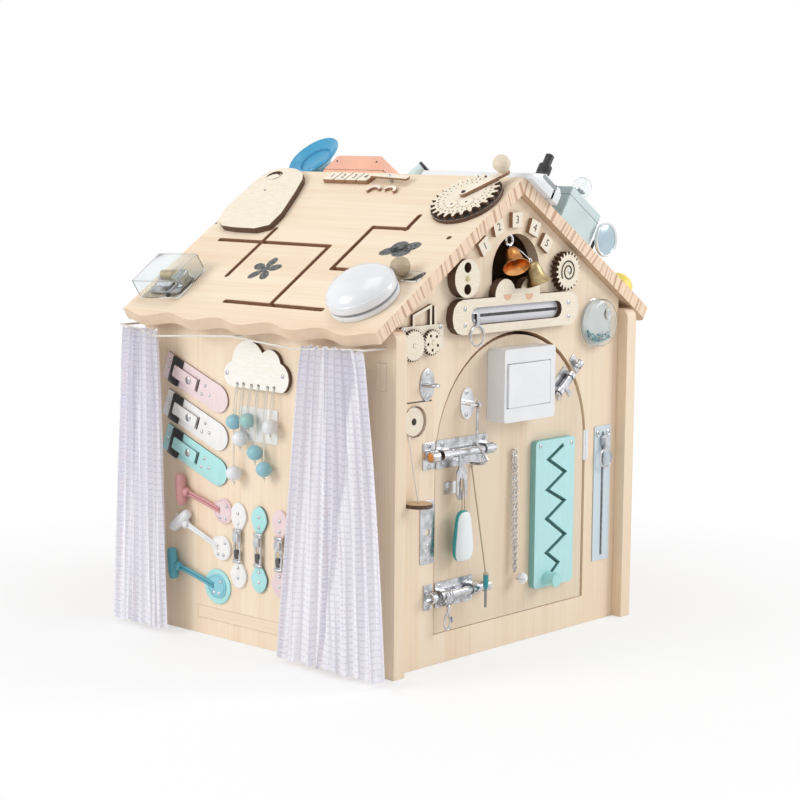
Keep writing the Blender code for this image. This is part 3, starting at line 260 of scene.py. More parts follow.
def bent_wire(name, points, radius, closed=False, sides=3, smooth=True):
    """A round wire or cord through the points."""
    deselect()
    bpy.ops.curve.primitive_nurbs_path_add()
    path = bpy.context.object
    path.data.splines.clear()
    run = path.data.splines.new("NURBS" if smooth else "POLY")
    run.points.add(len(points) - 1)
    for point, place in zip(run.points, points):
        point.co = (*place, 1)
    if smooth:
        run.order_u = 3
        run.use_endpoint_u = True
        run.resolution_u = 4
    run.use_cyclic_u = closed
    path.data.bevel_depth = radius
    path.data.bevel_resolution = sides
    path.data.use_fill_caps = True
    only(path)
    bpy.ops.object.convert(target="MESH")
    piece = named(name)
    bpy.ops.object.shade_smooth()
    return piece


print("tools are ready")

# %% [markdown]
# ## Materials
#
# Each finish is a Principled shader whose colour, roughness and bump come from noise that is laid
# over the object's own coordinates, in metres. A few short helpers keep the recipes readable:
# one makes the shader, one adds a node, and one lays a pattern along a chosen direction.


# %% Material helpers
def finish(name, colour, roughness=0.5, metallic=0.0, **sockets):
    made = bpy.data.materials.new(name)
    made.use_nodes = True
    shader = made.node_tree.nodes["Principled BSDF"]
    shader.inputs["Base Color"].default_value = (*colour, 1)
    shader.inputs["Roughness"].default_value = roughness
    shader.inputs["Metallic"].default_value = metallic
    for socket, value in sockets.items():
        shader.inputs[socket.replace("_", " ")].default_value = value
    return made


def node(made, kind, inputs=None, **settings):
    added = made.node_tree.nodes.new("ShaderNode" + kind)
    for key, value in settings.items():
        setattr(added, key, value)
    for key, value in (inputs or {}).items():
        if isinstance(value, bpy.types.NodeSocket):
            made.node_tree.links.new(value, added.inputs[key])
        else:
            added.inputs[key].default_value = value
    return added


def link(made, output, socket):
    made.node_tree.links.new(output, made.node_tree.nodes["Principled BSDF"].inputs[socket])


def place_on(made, scale=(1, 1, 1), turn=(0, 0, 0), uv=False):
    coords = node(made, "TexCoord")
    source = coords.outputs["UV" if uv else "Object"]
    return node(made, "Mapping", {"Vector": source, "Scale": scale, "Rotation": turn}).outputs["Vector"]


def noise(made, scale, vector, detail=3.0, roughness=0.5, distortion=0.0):
    inputs = {"Vector": vector, "Scale": scale, "Detail": detail, "Roughness": roughness}
    inputs["Distortion"] = distortion
    return node(made, "TexNoise", inputs).outputs["Fac"]


def math(made, kind, a, b=0.0, c=0.0):
    return node(made, "Math", {0: a, 1: b, 2: c}, operation=kind).outputs[0]


def between(made, value, low, high, start=0.0, end=1.0):
    """Maps a value from low to high onto start to end, clamped."""
    inputs = {"Value": value, "From Min": low, "From Max": high, "To Min": start, "To Max": end}
    return node(made, "MapRange", inputs).outputs["Result"]


def blend(made, amount, first, second):
    mix = node(made, "Mix", data_type="RGBA")
    for socket, value in ((mix.inputs[6], first), (mix.inputs[7], second)):
        if isinstance(value, bpy.types.NodeSocket):
            made.node_tree.links.new(value, socket)
        else:
            socket.default_value = (*value, 1)
    if isinstance(amount, bpy.types.NodeSocket):
        made.node_tree.links.new(amount, mix.inputs[0])
    else:
        mix.inputs[0].default_value = amount
    return mix.outputs[2]


def bump(made, height, strength, distance):
    raised = node(made, "Bump", {"Height": height, "Strength": strength, "Distance": distance})
    link(made, raised.outputs["Normal"], "Normal")
    return raised


def facing(made, way):
    """How far a surface faces one way, from -1 to 1, by its own normal."""
    normal = node(made, "TexCoord").outputs["Normal"]
    dot = node(made, "VectorMath", {0: normal, 1: way}, operation="DOT_PRODUCT")
    return dot.outputs["Value"]


def part_of(made, axis):
    split = node(made, "SeparateXYZ", {"Vector": node(made, "TexCoord").outputs["Object"]})
    return split.outputs[axis]


print("material helpers are ready")

# %% [markdown]
# ### Pine
#
# The boards are glued up from pale pine strips. Seen close, the wood has fine lines along the
# grain, wider soft bands from the growth rings, and a small change of tone from strip to strip.
# Noise that is stretched along the grain gives the first two. Where a board is cut across, its
# end shows short dark stripes, so the recipe asks which faces look along the grain.

# %% Pine
PINE_PALE = (0.915, 0.765, 0.590)
PINE_DARK = (0.800, 0.590, 0.400)
PINE_PEACH = (0.900, 0.690, 0.510)
PINE_END = (0.560, 0.350, 0.220)
PINE_PAINTED_SHADE = (0.560, 0.370, 0.220)


def pine(name, along, across, strip=0.047, metal_front=False, slots=False, tone=1.0):
    """Pine with its grain along one direction; across is the way from strip to strip."""
    made = finish(name, PINE_PALE, 0.55)
    stretch = [5.0 if abs(a) > 0.5 else 420.0 for a in along]
    fine = noise(made, 1.0, place_on(made, stretch), 4.0, 0.6)
    wide = [1.6 if abs(a) > 0.5 else 60.0 for a in along]
    rings = noise(made, 1.0, place_on(made, wide), 2.0, 0.5, 0.6)
    where = node(made, "TexCoord").outputs["Object"]
    reach = node(made, "VectorMath", {0: where, 1: across}, operation="DOT_PRODUCT").outputs["Value"]
    number = math(made, "FLOOR", math(made, "DIVIDE", math(made, "ADD", reach, 1.013), strip))
    glued = node(made, "TexWhiteNoise", {"W": number}, noise_dimensions="1D").outputs["Value"]
    amount = math(made, "MULTIPLY", between(made, fine, 0.42, 0.68), 0.34)
    amount = math(made, "ADD", amount, between(made, rings, 0.45, 0.75, 0.0, 0.42))
    amount = math(made, "ADD", amount, between(made, glued, 0.0, 1.0, -0.12, 0.18))
    pale, dark = (tuple(c * tone for c in shade) for shade in (PINE_PALE, PINE_DARK))
    colour = blend(made, between(made, amount, 0.0, 1.0), pale, dark)
    ends = math(made, "ABSOLUTE", facing(made, along))
    lean = math(made, "MULTIPLY_ADD", noise(made, 9.0, where, 1.0), 0.05, reach)
    lines = node(made, "TexNoise", {"W": lean, "Scale": 170.0, "Detail": 2.0}, noise_dimensions="1D")
    cut = blend(made, between(made, lines.outputs["Fac"], 0.50, 0.66), PINE_PEACH, PINE_END)
    colour = blend(made, between(made, ends, 0.6, 0.8), colour, cut)
    # Faces that look down are darkened to brown: painted shade, as under the roof's overhang.
    under = between(made, facing(made, (0, 0, -1)), 0.4, 0.7, 0.0, 0.75)
    colour = blend(made, under, colour, PINE_PAINTED_SHADE)
    if slots:
        colour = maze_slots(made, colour)
    link(made, colour, "Base Color")
    link(made, between(made, fine, 0.3, 0.7, 0.48, 0.62), "Roughness")
    bump(made, fine, 0.18, 0.0003)
    if metal_front:
        plated_front(made, colour)
    return made


def maze_slots(made, colour):
    """Brown, scorched walls in the slots, which lie below the face and inside the board's rim."""
    where = node(made, "TexCoord").outputs["Object"]
    height = node(made, "VectorMath", {0: where, 1: SLOPE_OUT}, operation="DOT_PRODUCT").outputs["Value"]
    face = RIDGE.z * cos(PITCH)
    sunk = between(made, height, face - 0.0004, face - 0.0010)
    shallow = between(made, height, face - 0.0150, face - 0.0140)
    inside = math(
        made, "LESS_THAN", math(made, "ABSOLUTE", math(made, "ADD", part_of(made, 1), -0.0055)), 0.200
    )
    inside = math(made, "MULTIPLY", inside, math(made, "GREATER_THAN", part_of(made, 0), -0.236))
    inside = math(made, "MULTIPLY", inside, math(made, "LESS_THAN", part_of(made, 0), -0.012))
    mask = math(made, "MULTIPLY", math(made, "MULTIPLY", sunk, shallow), inside)
    patch = noise(made, 260.0, place_on(made), 2.0)
    burnt = blend(made, patch, (0.30, 0.150, 0.085), (0.46, 0.265, 0.165))
    return blend(made, mask, colour, burnt)


def plated_front(made, colour):
    """The hook, hinge and plates that stand in front of the boards are steel."""
    front = math(made, "LESS_THAN", part_of(made, 1), GABLE_Y - 0.00015)
    hook = math(made, "GREATER_THAN", part_of(made, 2), 0.4560)
    near = math(
        made, "LESS_THAN", math(made, "ABSOLUTE", math(made, "ADD", part_of(made, 0), 0.004)), 0.0082
    )
    hook = math(
        made,
        "MULTIPLY",
        math(made, "MULTIPLY", hook, near),
        math(made, "LESS_THAN", part_of(made, 2), 0.4733),
    )
    metal = math(made, "MAXIMUM", front, hook)
    link(made, blend(made, metal, colour, (0.78, 0.79, 0.81)), "Base Color")
    link(made, metal, "Metallic")
    link(made, between(made, metal, 0.0, 1.0, 0.55, 0.2), "Roughness")


pine_gable = pine("pine_gable", (0, 0, 1), (1, 0, 0), metal_front=True)
pine_door = pine("pine_door", (0, 0, 1), (1, 0, 0), 0.052, metal_front=True, tone=0.90)
pine_side = pine("pine_side", (0, 0, 1), (0, 1, 0))
pine_roof = pine("pine_roof", (0, 1, 0), (cos(PITCH), 0, sin(PITCH)), 0.058, slots=True)
pine_far_roof = pine("pine_far_roof", (0, 1, 0), (-cos(PITCH), 0, sin(PITCH)), 0.058)
pine_floor = pine("pine_floor", (0, 1, 0), (1, 0, 0))
print("pine for walls, roof and floor")

# %% [markdown]
# ### Laser-cut plywood
#
# The small boards are cut by laser. Their faces stay pale, while the beam scorches every side
# face dark brown. So the recipe compares the normal with the direction that the board faces.


# %% Plywood
def plywood(name, out, pale=(0.900, 0.825, 0.695), burn=((0.045, 0.022, 0.014), (0.165, 0.085, 0.048))):
    made = finish(name, pale, 0.6)
    grain = noise(made, 1.0, place_on(made, (90, 90, 700)), 3.0, 0.6)
    face = blend(
        made,
        between(made, grain, 0.35, 0.75),
        pale,
        tuple(c * k for c, k in zip(pale, (0.93, 0.88, 0.80))),
    )
    plies = noise(made, 420.0, place_on(made), 2.0)
    dark = blend(made, plies, *burn)
    sides = between(made, facing(made, out), 0.55, 0.8, 1.0, 0.0)
    link(made, blend(made, sides, face, dark), "Base Color")
    bump(made, grain, 0.15, 0.0002)
    return made


ply_gable = plywood("ply_gable", (0, -1, 0))
ply_side = plywood("ply_side", (-1, 0, 0), (0.94, 0.92, 0.875))
ply_roof = plywood("ply_roof", SLOPE_OUT)
ply_level = plywood("ply_level", (0, 0, 1), (0.60, 0.43, 0.27))
print("plywood faces the gable, the side, the roof and upward")

# %% [markdown]
# ### Metals
#
# The bolts and rings are bright plated steel: smooth, with a little unevenness that breaks up
# the reflections. Copper and brass get blotches of darker, duller metal where hands touch them.


# %% Metals
def metal(name, bright, dull, rough_low, rough_high, scale=60.0):
    made = finish(name, bright, rough_low, 1.0)
    patches = noise(made, scale, place_on(made), 4.0, 0.6)
    link(made, blend(made, between(made, patches, 0.4, 0.7), bright, dull), "Base Color")
    link(made, between(made, patches, 0.35, 0.7, rough_low, rough_high), "Roughness")
    bump(made, noise(made, scale * 12, place_on(made), 2.0), 0.06, 0.0002)
    return made


steel = metal("steel", (0.66, 0.67, 0.69), (0.40, 0.40, 0.42), 0.14, 0.34, 130.0)
copper = metal("copper", (0.82, 0.40, 0.14), (0.60, 0.28, 0.11), 0.20, 0.42, 90.0)
brass = metal("brass", (0.50, 0.39, 0.20), (0.22, 0.16, 0.085), 0.26, 0.52, 110.0)
mirror_glass = metal("mirror_glass", (0.50, 0.62, 0.69), (0.42, 0.54, 0.61), 0.10, 0.18, 40.0)
dark_steel = metal("dark_steel", (0.16, 0.15, 0.15), (0.09, 0.09, 0.09), 0.25, 0.4)
print("metals:", steel.name, copper.name, brass.name, mirror_glass.name, dark_steel.name)

# %% [markdown]
# ### Plastics, rubber and paint
#
# Moulded plastic is not quite one colour and never perfectly smooth. A slow noise shifts the tone
# by a few percent, and a fine one gives the faint texture of the mould.


# %% Plastics
def plastic(name, colour, roughness=0.35, shift=0.06, grain=1500.0, depth=0.00003, **sockets):
    made = finish(name, colour, roughness, **sockets)
    slow = noise(made, 24.0, place_on(made), 2.0)
    darker = tuple(c * (1 - shift * 2) for c in colour)
    link(made, blend(made, between(made, slow, 0.35, 0.7), colour, darker), "Base Color")
    fine = noise(made, grain, place_on(made), 2.0)
    link(made, between(made, fine, 0.3, 0.7, roughness * 0.85, roughness * 1.2), "Roughness")
    bump(made, fine, 0.12, depth)
    return made


white_plastic = plastic("white_plastic", (0.86, 0.87, 0.885), 0.28, 0.02)
mint = plastic("mint_paint", (0.440, 0.800, 0.790), 0.42)
teal = plastic("teal_rubber", (0.030, 0.330, 0.350), 0.45)
blue = plastic("blue_plastic", (0.085, 0.430, 0.660), 0.22)
peach = plastic("peach_plastic", (0.930, 0.500, 0.360), 0.38)
grey_blue = plastic("grey_blue_plastic", (0.640, 0.755, 0.760), 0.35)
box_blue = plastic("box_blue", (0.640, 0.755, 0.760), 0.35)
# The phone box's side that faces up the slope is darkened: painted shade.
shaded_side = between(box_blue, facing(box_blue, (-cos(PITCH), 0, sin(PITCH))), 0.5, 0.8)
box_front = box_blue.node_tree.nodes["Principled BSDF"].inputs["Base Color"].links[0].from_socket
link(box_blue, blend(box_blue, shaded_side, box_front, (0.300, 0.375, 0.385)), "Base Color")
grey = plastic("grey_plastic", (0.33, 0.37, 0.38), 0.35)
black = plastic("black_plastic", (0.018, 0.018, 0.020), 0.35)
yellow = plastic("yellow_plastic", (0.93, 0.74, 0.13), 0.35)
pale_white = plastic("white_paint", (0.90, 0.89, 0.87), 0.5, 0.02)
pale_pink = plastic("pale_pink_paint", (0.885, 0.700, 0.715), 0.5)
rose = plastic("rose_rubber", (0.690, 0.330, 0.330), 0.45)
sky = plastic("sky_rubber", (0.120, 0.420, 0.520), 0.45)
sky_pale = plastic("sky_paint", (0.300, 0.660, 0.760), 0.45)
magenta = plastic("magenta_plastic", (0.80, 0.10, 0.38), 0.4)
bead_blue = plastic("bead_blue", (0.300, 0.560, 0.640), 0.30)
bead_mint = plastic("bead_mint", (0.330, 0.560, 0.540), 0.30)
bead_white = plastic("bead_white", (0.83, 0.84, 0.86), 0.32)
print("plastics and paints made")


# %% [markdown]
# ### Clear plastic, cord and cloth
#
# The clear cases are thin walls of transparent plastic. Cord is twisted, so its bump runs in
# slanted lines. The curtain is a thin gauze with a small woven check, laid on its own UV map so
# that the check follows the folds.


# %% Clear plastic and cord
def clear_plastic(name, tint):
    made = finish(name, tint, 0.04, Transmission_Weight=1.0, IOR=1.45)
    slow = noise(made, 30.0, place_on(made), 2.0)
    link(made, between(made, slow, 0.3, 0.7, 0.02, 0.08), "Roughness")
    bump(made, slow, 0.05, 0.0004)
    return made


def cord_finish(name, colour):
    made = finish(name, colour, 0.85)
    twist = node(made, "TexWave", {"Vector": place_on(made), "Scale": 260.0}, bands_direction="DIAGONAL")
    shade = tuple(c * 0.78 for c in colour)
    link(made, blend(made, twist.outputs["Fac"], shade, colour), "Base Color")
    bump(made, twist.outputs["Fac"], 0.5, 0.0003)
    return made


clear = clear_plastic("clear_plastic", (0.95, 0.975, 0.98))
cord_white = cord_finish("cord_white", (0.86, 0.82, 0.75))
cord_tan = cord_finish("cord_tan", (0.55, 0.42, 0.28))


# %% Gauze and tape
def gauze(name, thread, gap, tints):
    """A thin weave on the UV map, in metres of flat cloth, with ladder bands of coloured dashes."""
    made = finish(name, thread, 0.9, Sheen_Weight=0.2)
    split = node(made, "SeparateXYZ", {"Vector": place_on(made, uv=True)})
    along, down = split.outputs[0], split.outputs[1]

    def beat(way, pitch, sharp):
        wave = math(made, "SINE", math(made, "MULTIPLY", way, 2 * pi / pitch))
        return between(made, wave, sharp, 1.0)

    grid = math(made, "MAXIMUM", beat(along, 0.0062, 0.3), beat(down, 0.0074, 0.5))
    wear_and_reflection = noise(made, 34.0, place_on(made, uv=True), 3.0)
    amount = math(made, "MULTIPLY_ADD", grid, 0.40, math(made, "MULTIPLY", wear_and_reflection, 0.30))
    colour = blend(made, amount, thread, gap)
    ladder = math(made, "MULTIPLY", beat(along, 0.0440, 0.90), beat(down, 0.0048, -0.1))
    patch = noise(made, 1.0, place_on(made, (9, 24, 1), uv=True), 1.0)
    tint = blend(made, between(made, patch, 0.42, 0.58), *tints)
    colour = blend(made, math(made, "MULTIPLY", ladder, 0.62), colour, tint)
    link(made, colour, "Base Color")
    link(made, math(made, "MULTIPLY_ADD", grid, -0.10, 0.97), "Alpha")
    bump(made, math(made, "ADD", grid, ladder), 0.35, 0.0004)
    return made


curtain_cloth = gauze(
    "curtain_cloth",
    (0.905, 0.895, 0.945),
    (0.720, 0.715, 0.820),
    ((0.56, 0.62, 0.80), (0.86, 0.62, 0.70)),
)


def tape(name, colour):
    made = finish(name, colour, 0.9, Sheen_Weight=0.15)
    ribs = node(made, "TexWave", {"Vector": place_on(made), "Scale": 420.0}, bands_direction="Z")
    shade = tuple(c * 0.86 for c in colour)
    link(made, blend(made, ribs.outputs["Fac"], shade, colour), "Base Color")
    bump(made, ribs.outputs["Fac"], 0.3, 0.0002)
    return made


lilac_tape = tape("lilac_tape", (0.900, 0.905, 0.960))
pale_tape = tape("pale_blue_tape", (0.690, 0.800, 0.870))
print("clear plastic, cords, gauze and tape")

# %% [markdown]
# ## Dressing the CAD solids
#
# The solids whose shape is already right only need a finish. Each node's slots are filled here,
# in one table from material to nodes.

# %% Finishes of the CAD solids
coats = {
    pine_gable: ("front_panel",),
    pine_door: ("front_door",),
    pine_side: ("left_wall", "right_wall", "back_panel"),
    pine_floor: ("base_board",),
    pine_roof: ("left_roof",),
    pine_far_roof: ("right_roof",),
    ply_gable: (
        "button_disc", "spiral_gear", "gear_board", "big_gear", "small_gear", "face_wheel", "zip_plate"
    ),
    ply_side: ("cloud",),
    ply_roof: ("gear_spinner", "spinner_crank", "cover_plate"),
    ply_level: ("pull_disc",),
    steel: (
        "bolt_plate",
        "bolt_rod",
        "lower_bolt_plate",
        "lower_bolt_rod",
        "corner_bolt_plate",
        "corner_bolt_rod",
        "gate_hook",
        "chain_bell",
        "zip_slider",
        "side_zip_slider",
    ),
    dark_steel: ("mirror_arm",),
    mirror_glass: ("mirror",),
    copper: ("copper_bell",),
    brass: ("brass_bell",),
    white_plastic: ("doorbell_box", "doorbell_rocker", "lamp_base", "push_lamp"),
    mint: ("zigzag_board", "zigzag_knob", "strap_3"),
    pale_white: ("strap_2",),
    pale_pink: ("strap_1",),
    clear: ("bead_drum", "music_box"),
    teal: ("bob",),
    cord_white: ("pointer", "curtain_cord"),
    pale_tape: ("side_zip_tape",),
    curtain_cloth: ("curtain_left", "curtain_right"),
    blue: ("horn",),
    peach: ("slab",),
    box_blue: ("phone_box",),
    bead_blue: ("bead_string_1", "bead_string_4", "bead_string_5"),
    bead_white: ("bead_string_2", "bead_string_6"),
    bead_mint: ("bead_string_3",),
}
for coat, members in coats.items():
    for member in members:
        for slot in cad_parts[member].material_slots:
            slot.material = coat
        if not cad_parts[member].material_slots:
            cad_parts[member].data.materials.append(coat)
print(sum(len(members) for members in coats.values()), "solids have a finish")

# %% [markdown]
# ## Floor and light
#
# The house stands on a white sweep. The floor shows almost its own white to the camera and still
# keeps a soft shadow. Two large soft lamps stand left and right, so that the pieces on the gable
# throw their shadows to the left and those on the curtain side to the right.

# %% Floor
deselect()
bpy.ops.mesh.primitive_plane_add(size=14, location=(0, 0, GROUND - 0.0004))
floor = named("floor")
floor_white = finish("floor_white", (0.93, 0.93, 0.935), 0.9)
light_path = node(floor_white, "LightPath")
glow = node(floor_white, "Emission", {"Color": (1, 1, 1, 1), "Strength": 1.0})
seen = math(
    floor_white, "MAXIMUM", light_path.outputs["Is Camera Ray"], light_path.outputs["Is Glossy Ray"]
)
seen = math(floor_white, "MAXIMUM", seen, light_path.outputs["Is Transmission Ray"])
far = node(floor_white, "VectorMath", {0: place_on(floor_white)}, operation="LENGTH").outputs["Value"]
share = math(floor_white, "MULTIPLY", seen, between(floor_white, far, 0.45, 0.85, 0.55, 1.0))
both = node(floor_white, "MixShader", {0: share})
floor_nodes = floor_white.node_tree
floor_nodes.links.new(floor_nodes.nodes["Principled BSDF"].outputs[0], both.inputs[1])
floor_nodes.links.new(glow.outputs[0], both.inputs[2])
floor_nodes.links.new(both.outputs[0], floor_nodes.nodes["Material Output"].inputs["Surface"])
floor.data.materials.append(floor_white)


# %% World and lamps
world = bpy.data.worlds.new("studio")
bpy.context.scene.world = world
world.use_nodes = True
sky_nodes = world.node_tree
backdrop = sky_nodes.nodes["Background"]
backdrop.inputs["Color"].default_value = (1, 1, 1, 1)
path = sky_nodes.nodes.new("ShaderNodeLightPath")
seen_too = sky_nodes.nodes.new("ShaderNodeMath")
seen_too.operation = "MAXIMUM"
through = sky_nodes.nodes.new("ShaderNodeMath")
through.operation = "MAXIMUM"
strength = sky_nodes.nodes.new("ShaderNodeMapRange")
strength.inputs["To Min"].default_value = 0.52
strength.inputs["To Max"].default_value = 1.0
sky_nodes.links.new(path.outputs["Is Camera Ray"], seen_too.inputs[0])
sky_nodes.links.new(path.outputs["Is Glossy Ray"], seen_too.inputs[1])
sky_nodes.links.new(seen_too.outputs[0], through.inputs[0])
sky_nodes.links.new(path.outputs["Is Transmission Ray"], through.inputs[1])
sky_nodes.links.new(through.outputs[0], strength.inputs["Value"])
sky_nodes.links.new(strength.outputs["Result"], backdrop.inputs["Strength"])


def soft_lamp(name, place, size, power):
    deselect()
    bpy.ops.object.light_add(type="AREA", location=place)
    lamp = bpy.context.object
    lamp.name = name
    lamp.data.shape = "SQUARE"
    lamp.data.size = size
    lamp.data.energy = power
    aim = Vector((0, 0, 0.22)) - Vector(place)
    lamp.rotation_euler = aim.to_track_quat("-Z", "Y").to_euler()
    return lamp


soft_lamp("right_softbox", (1.9, -2.1, 1.5), 1.3, 34)
soft_lamp("left_softbox", (-2.4, 0.9, 1.4), 1.3, 30)
soft_lamp("top_softbox", (-0.4, -0.3, 2.9), 1.6, 16)
bpy.context.scene.view_settings.view_transform = "Standard"
print("floor, world and three lamps")
# %% [markdown]
# ## Screws
#
# Small raised screws with a cross recess hold every board and plate. One is turned and cut, and
# then copied to all its places. The copies of one group are joined, so that a group is one piece.


# %% More tools
def coat(piece, material):
    piece.data.materials.clear()
    piece.data.materials.append(material)
    return piece


def cut(piece, tool, way="DIFFERENCE"):
    """Cuts the tool out of a piece, or joins it on, and throws the tool away."""
    step = piece.modifiers.new("cut", "BOOLEAN")
    step.operation = way
    step.solver = "EXACT"
    step.object = tool
    apply_modifiers(piece)
    bpy.data.objects.remove(tool)
    return piece


def repeat(piece, count, step_by):
    """Copies a piece along a line."""
    row = piece.modifiers.new("row", "ARRAY")
    row.count = count
    row.use_relative_offset = False
    row.use_constant_offset = True
    row.constant_offset_displace = step_by
    return apply_modifiers(piece)


def ball(name, radius, squash=(1, 1, 1), segments=32):
    deselect()
    bpy.ops.mesh.primitive_uv_sphere_add(segments=segments, ring_count=segments // 2, radius=radius)
    piece = named(name)
    bpy.ops.object.mode_set(mode="EDIT")
    bpy.ops.transform.resize(value=squash, center_override=(0, 0, 0))
    bpy.ops.object.mode_set(mode="OBJECT")
    bpy.ops.object.shade_smooth()
    return piece


def moved(piece, x=0, y=0, z=0, tilt=(0, 0, 0)):
    """Turns a piece about the origin and moves it, before it is put on a board."""
    only(piece)
    piece.rotation_euler = tilt
    piece.location = (x, y, z)
    return apply_place(piece)


# %% One screw
def cross(arm, half):
    corner = [(arm, half), (half, half), (half, arm)]
    points = []
    for turn in range(4):
        for x, y in corner:
            for _ in range(turn):
                x, y = -y, x
            points.append((x, y))
    return points


screw = turned(
    "screw",
    [(0, 0.0014), (0.0014, 0.0013), (0.0024, 0.0008), (0.0029, 0.0001), (0.0029, -0.0003), (0, -0.0003)],
    20,
)
screw = coat(cut(screw, flat_board("recess", cross(0.0017, 0.0004), 0.0007, 0.002, 0)), steel)
rivet = turned("rivet", [(0, 0.0016), (0.0011, 0.0015), (0.0019, 0.0009), (0.0023, 0), (0, -0.0001)], 16)
rivet = coat(rivet, steel)


def fasten(name, body, base, places, out, model=None):
    """A group of screws or rivets at (across, up) places on a board."""
    made = []
    for across, up in places:
        one = copy_of(model or screw, name)
        made.append(put_on(one, base, across, up, out, turn=across * 50 + up * 31))
    return settle(join(name, made), body, "steel")


fasten(
    "zip_board_screws",
    "house",
    gable,
    [(-0.1035, 0.411), (-0.1032, 0.3925), (0.0887, 0.4085), (0.0892, 0.3915)],
    0.0105,
)
fasten("gear_board_screws", "house", gable, [(-0.1997, 0.3925), (-0.1385, 0.3925)], 0.0040)
fasten("zigzag_screws", "door", gable, [(0.042, 0.2373), (0.103, 0.2357)], 0.0085)
fasten("hook_plate_screws", "door", gable, [(-0.0885, 0.3135), (-0.0885, 0.2872)], 0.0015)
bolt_corners = [(-0.0948 + x, 0.2456 + y) for x in (-0.035, 0.038) for y in (-0.0118, 0.0118)]
fasten("bolt_screws", "door", gable, bolt_corners, 0.0015)
lower_corners = [(-0.1064 + x, 0.0817 + y) for x in (-0.027, 0.027) for y in (-0.0108, 0.0108)]
fasten("lower_bolt_screws", "door", gable, lower_corners, 0.0015)
fasten("cloud_screws", "house", left_side, [(-0.0557, 0.326), (0.0381, 0.3293)], 0.0060)
print("screws on seven boards")

# %% [markdown]
# ## Number tiles
#
# Five square tiles stand in an arc over the bells, and four more lie along the ridge. The laser
# scorched their sides brown and left the faces cream. Each bears one plain number. The number is
# a text object with a little depth, and it is converted to a mesh before it is placed.

# %% Tile finish and one tile
tile_burn = ((0.22, 0.11, 0.060), (0.42, 0.24, 0.14))
tile_gable = plywood("tile_gable", (0, -1, 0), (0.93, 0.86, 0.74), tile_burn)
tile_roof = plywood("tile_roof", SLOPE_OUT, (0.93, 0.86, 0.74), tile_burn)
ink = plastic("ink", (0.030, 0.026, 0.024), 0.7)


def number_tile(name, number, width, height, thick, wood, slant=0):
    half_w, half_h = width / 2, height / 2
    outline = [
        (-half_w - slant, -half_h),
        (half_w - slant, -half_h),
        (half_w + slant, half_h),
        (-half_w + slant, half_h),
    ]
    tile = coat(flat_board(name, outline, 0.0003, thick, 0.00015, 1), wood)
    deselect()
    bpy.ops.object.text_add()
    text = bpy.context.object
    text.data.body = str(number)
    text.data.size = height * 0.72
    text.data.align_x = "CENTER"
    text.data.align_y = "CENTER"
    text.data.extrude = 0.00012
    bpy.ops.object.convert(target="MESH")
    figure = coat(named(name + "_figure"), ink)
    moved(figure, z=thick)
    return join(name, [tile, figure])


arch_tiles = [
    (-0.0631, 0.4811, 35),
    (-0.0384, 0.5022, 18),
    (-0.0049, 0.5098, 0),
    (0.0283, 0.4995, -22),
    (0.0512, 0.4806, -35),
]
for number, (across, up, lean) in enumerate(arch_tiles, 1):
    tile = number_tile(f"arch_tile_{number}", number, 0.018, 0.018, 0.0055, tile_gable)
    settle(put_on(tile, gable, across, up, 0, radians(lean)), "house", "plywood")
for number in range(1, 5):
    tile = number_tile(f"ridge_tile_{number}", number, 0.0178, 0.0165, 0.006, tile_roof, 0.002)
    across = -0.0840 + 0.0192 * (number - 1)
    settle(put_on(tile, left_slope, across, -0.0165, 0), "house", "plywood")
print("nine number tiles")

# %% [markdown]
# ## The zip on the gable
#
# The zip board holds a real zip: lilac tape at the bottom of its slot, and a row of small metal
# teeth along the middle. One tooth is made and repeated along the tape.

# %% Zip tape and teeth
zip_tape = coat(
    flat_board("zip_tape", rounded(0.1672, 0.0198, 0.0098, 10), 0.0031, 0.0043, 0.0002), lilac_tape
)
settle(put_on(zip_tape, gable, -0.0080, 0.4015), "house", "cloth")
tooth = flat_board("zip_teeth", rounded(0.0008, 0.0036, 0.0003, 2), 0.0040, 0.0050, 0.0001, 1)
teeth = coat(repeat(tooth, 110, (0.00149, 0, 0)), dark_steel)
settle(put_on(moved(teeth, x=-0.0813), gable, -0.0080, 0.4015), "house", "steel")
inlay_peach = plywood("inlay_peach", (0, -1, 0), (0.83, 0.52, 0.36))
for across, up in ((-0.0269, 0.4240), (0.0131, 0.4228)):
    inlay = flat_board("ear_inlay", arc(0, 0, 0.0072, pi, 2 * pi, 20), 0.0103, 0.0107, 0.0001, 1)
    dress(put_on(inlay, gable, across, up), inlay_peach, "house", "plywood")

# %% Side zip
side_teeth = flat_board("side_zip_teeth", rounded(0.0034, 0.0008, 0.0003, 2), 0.0014, 0.0026, 0.0001, 1)
side_teeth = coat(repeat(side_teeth, 106, (0, 0.00148, 0)), dark_steel)
settle(put_on(moved(side_teeth, y=-0.078), gable, 0.1765, 0.1625), "house", "steel")
eyelet_profile = [
    (0.0022, 0.0002), (0.0022, 0.0012), (0.0030, 0.0016), (0.0040, 0.0010), (0.0042, 0.0002)
]
for across in (0.1655, 0.1875):
    eyelet = turned("side_zip_eyelet", eyelet_profile, 24, closed=True)
    dress(put_on(eyelet, gable, across, 0.2385, 0.0013), steel, "house", "steel")
print("zip with", 110, "teeth, side zip with", 106)

# %% [markdown]
# ## Bells
#
# Two small bells hang in the arch, one of bright copper and one of aged brass. A bell is a
# turned shape with a thin wall. Its profile runs down the outside, round the lip and up the
# inside. It is modelled mouth down at the origin, and then turned to hang along its own axis.


